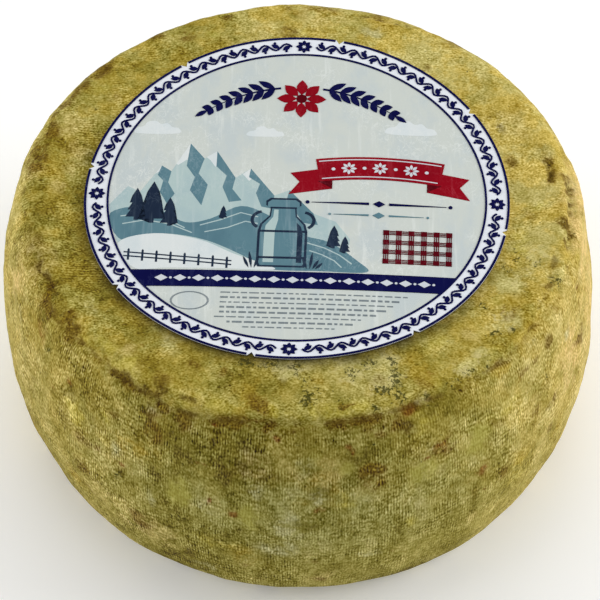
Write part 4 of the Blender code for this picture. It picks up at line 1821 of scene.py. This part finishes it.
@dataclass(frozen=True)
class Softbox:
    """A square soft light that hangs over the floor and faces the wheel.

    Attributes:
        name: Name of the light.
        azimuth: Where it hangs, in degrees from +X.
        elevation: How high it hangs, in degrees.
        size: Width of the light.
        power: Power in watts.
        reach: Distance from the origin.
    """

    name: str
    azimuth: float
    elevation: float
    size: float
    power: float
    reach: float = 2.4

    def hang(self) -> None:
        """Add the light to the scene."""
        light = bpy.data.lights.new(self.name, "AREA")
        light.shape, light.size, light.energy = "SQUARE", self.size, self.power
        turn, rise = math.radians(self.azimuth), math.radians(self.elevation)
        away = Vector((math.cos(turn) * math.cos(rise), math.sin(turn) * math.cos(rise), math.sin(rise)))
        lamp = add_object(self.name, light)
        lamp.location = away * self.reach
        lamp.rotation_euler = (-away).to_track_quat("-Z", "Y").to_euler()


@dataclass(frozen=True)
class Studio:
    """Plain pale floor, soft lights and the camera at the photograph's angle.

    The camera stands at an elevation and distance from the middle of the wheel's widest plane, and aims
    a little to the right of it and below it.
    """

    softboxes: tuple[Softbox, ...] = (
        Softbox("key_light", 8, 24, 1.4, 34),
        Softbox("top_light", 100, 76, 1.6, 16),
        Softbox("left_light", 172, 16, 1.2, 24),
    )
    elevation: float = math.radians(50.4)
    distance: float = 1.56
    lens: float = 229.3
    sensor: float = 36.0
    clip_end: float = 50.0
    aim_right: float = 0.00095
    aim_down: float = 0.00181
    floor_size: float = 8.0
    floor_colour: Colour = screen(246, 246, 246)
    floor_roughness: float = 0.9
    floor_shine: float = 0.1
    floor_glow: float = 0.2
    sky: Colour = (0.98, 0.99, 1.0, 1.0)
    sky_strength: float = 0.36

    def camera(self, form: WheelForm) -> None:
        """Stand the camera off the wheel's widest plane and aim it.

        Args:
            form: Sizes of the wheel.
        """
        middle = Vector((0, 0, form.widest))
        back = Vector((0, -math.cos(self.elevation), math.sin(self.elevation)))
        up = Vector((0, math.sin(self.elevation), math.cos(self.elevation)))
        place = middle + back * self.distance
        aim = middle + Vector((self.aim_right, 0, 0)) - up * self.aim_down
        lens = bpy.data.cameras.new("camera")
        lens.lens, lens.sensor_width, lens.clip_end = self.lens, self.sensor, self.clip_end
        camera = add_object("camera", lens)
        camera.location = place
        camera.rotation_euler = (aim - place).to_track_quat("-Z", "Y").to_euler()
        bpy.context.scene.camera = camera

    def build(self, form: WheelForm) -> None:
        """Set up the floor, lights, world, camera and colour management.

        Args:
            form: Sizes of the wheel.
        """
        bpy.ops.mesh.primitive_plane_add(size=self.floor_size)
        floor = bpy.context.object
        floor.name = "floor"
        graph = Graph("floor")
        graph.settle(base_color=self.floor_colour, roughness=self.floor_roughness,
                     specular_ior_level=self.floor_shine, emission_color=self.floor_colour,
                     emission_strength=self.floor_glow)
        floor.data.materials.append(graph.material)
        for softbox in self.softboxes:
            softbox.hang()
        world = bpy.data.worlds.new("studio")
        world.use_nodes = True
        background = world.node_tree.nodes["Background"]
        background.inputs["Color"].default_value = self.sky
        background.inputs["Strength"].default_value = self.sky_strength
        bpy.context.scene.world = world
        bpy.context.scene.view_settings.view_transform = "Standard"
        self.camera(form)


def main() -> None:
    """Build the pieces in order and report each."""
    logging.basicConfig(level=logging.INFO, format="%(message)s")
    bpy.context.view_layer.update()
    form = WheelForm()
    Studio().build(form)
    CheeseWheel(form).build()
    PaperLabel(form).build()


if __name__ == "__main__":
    main()
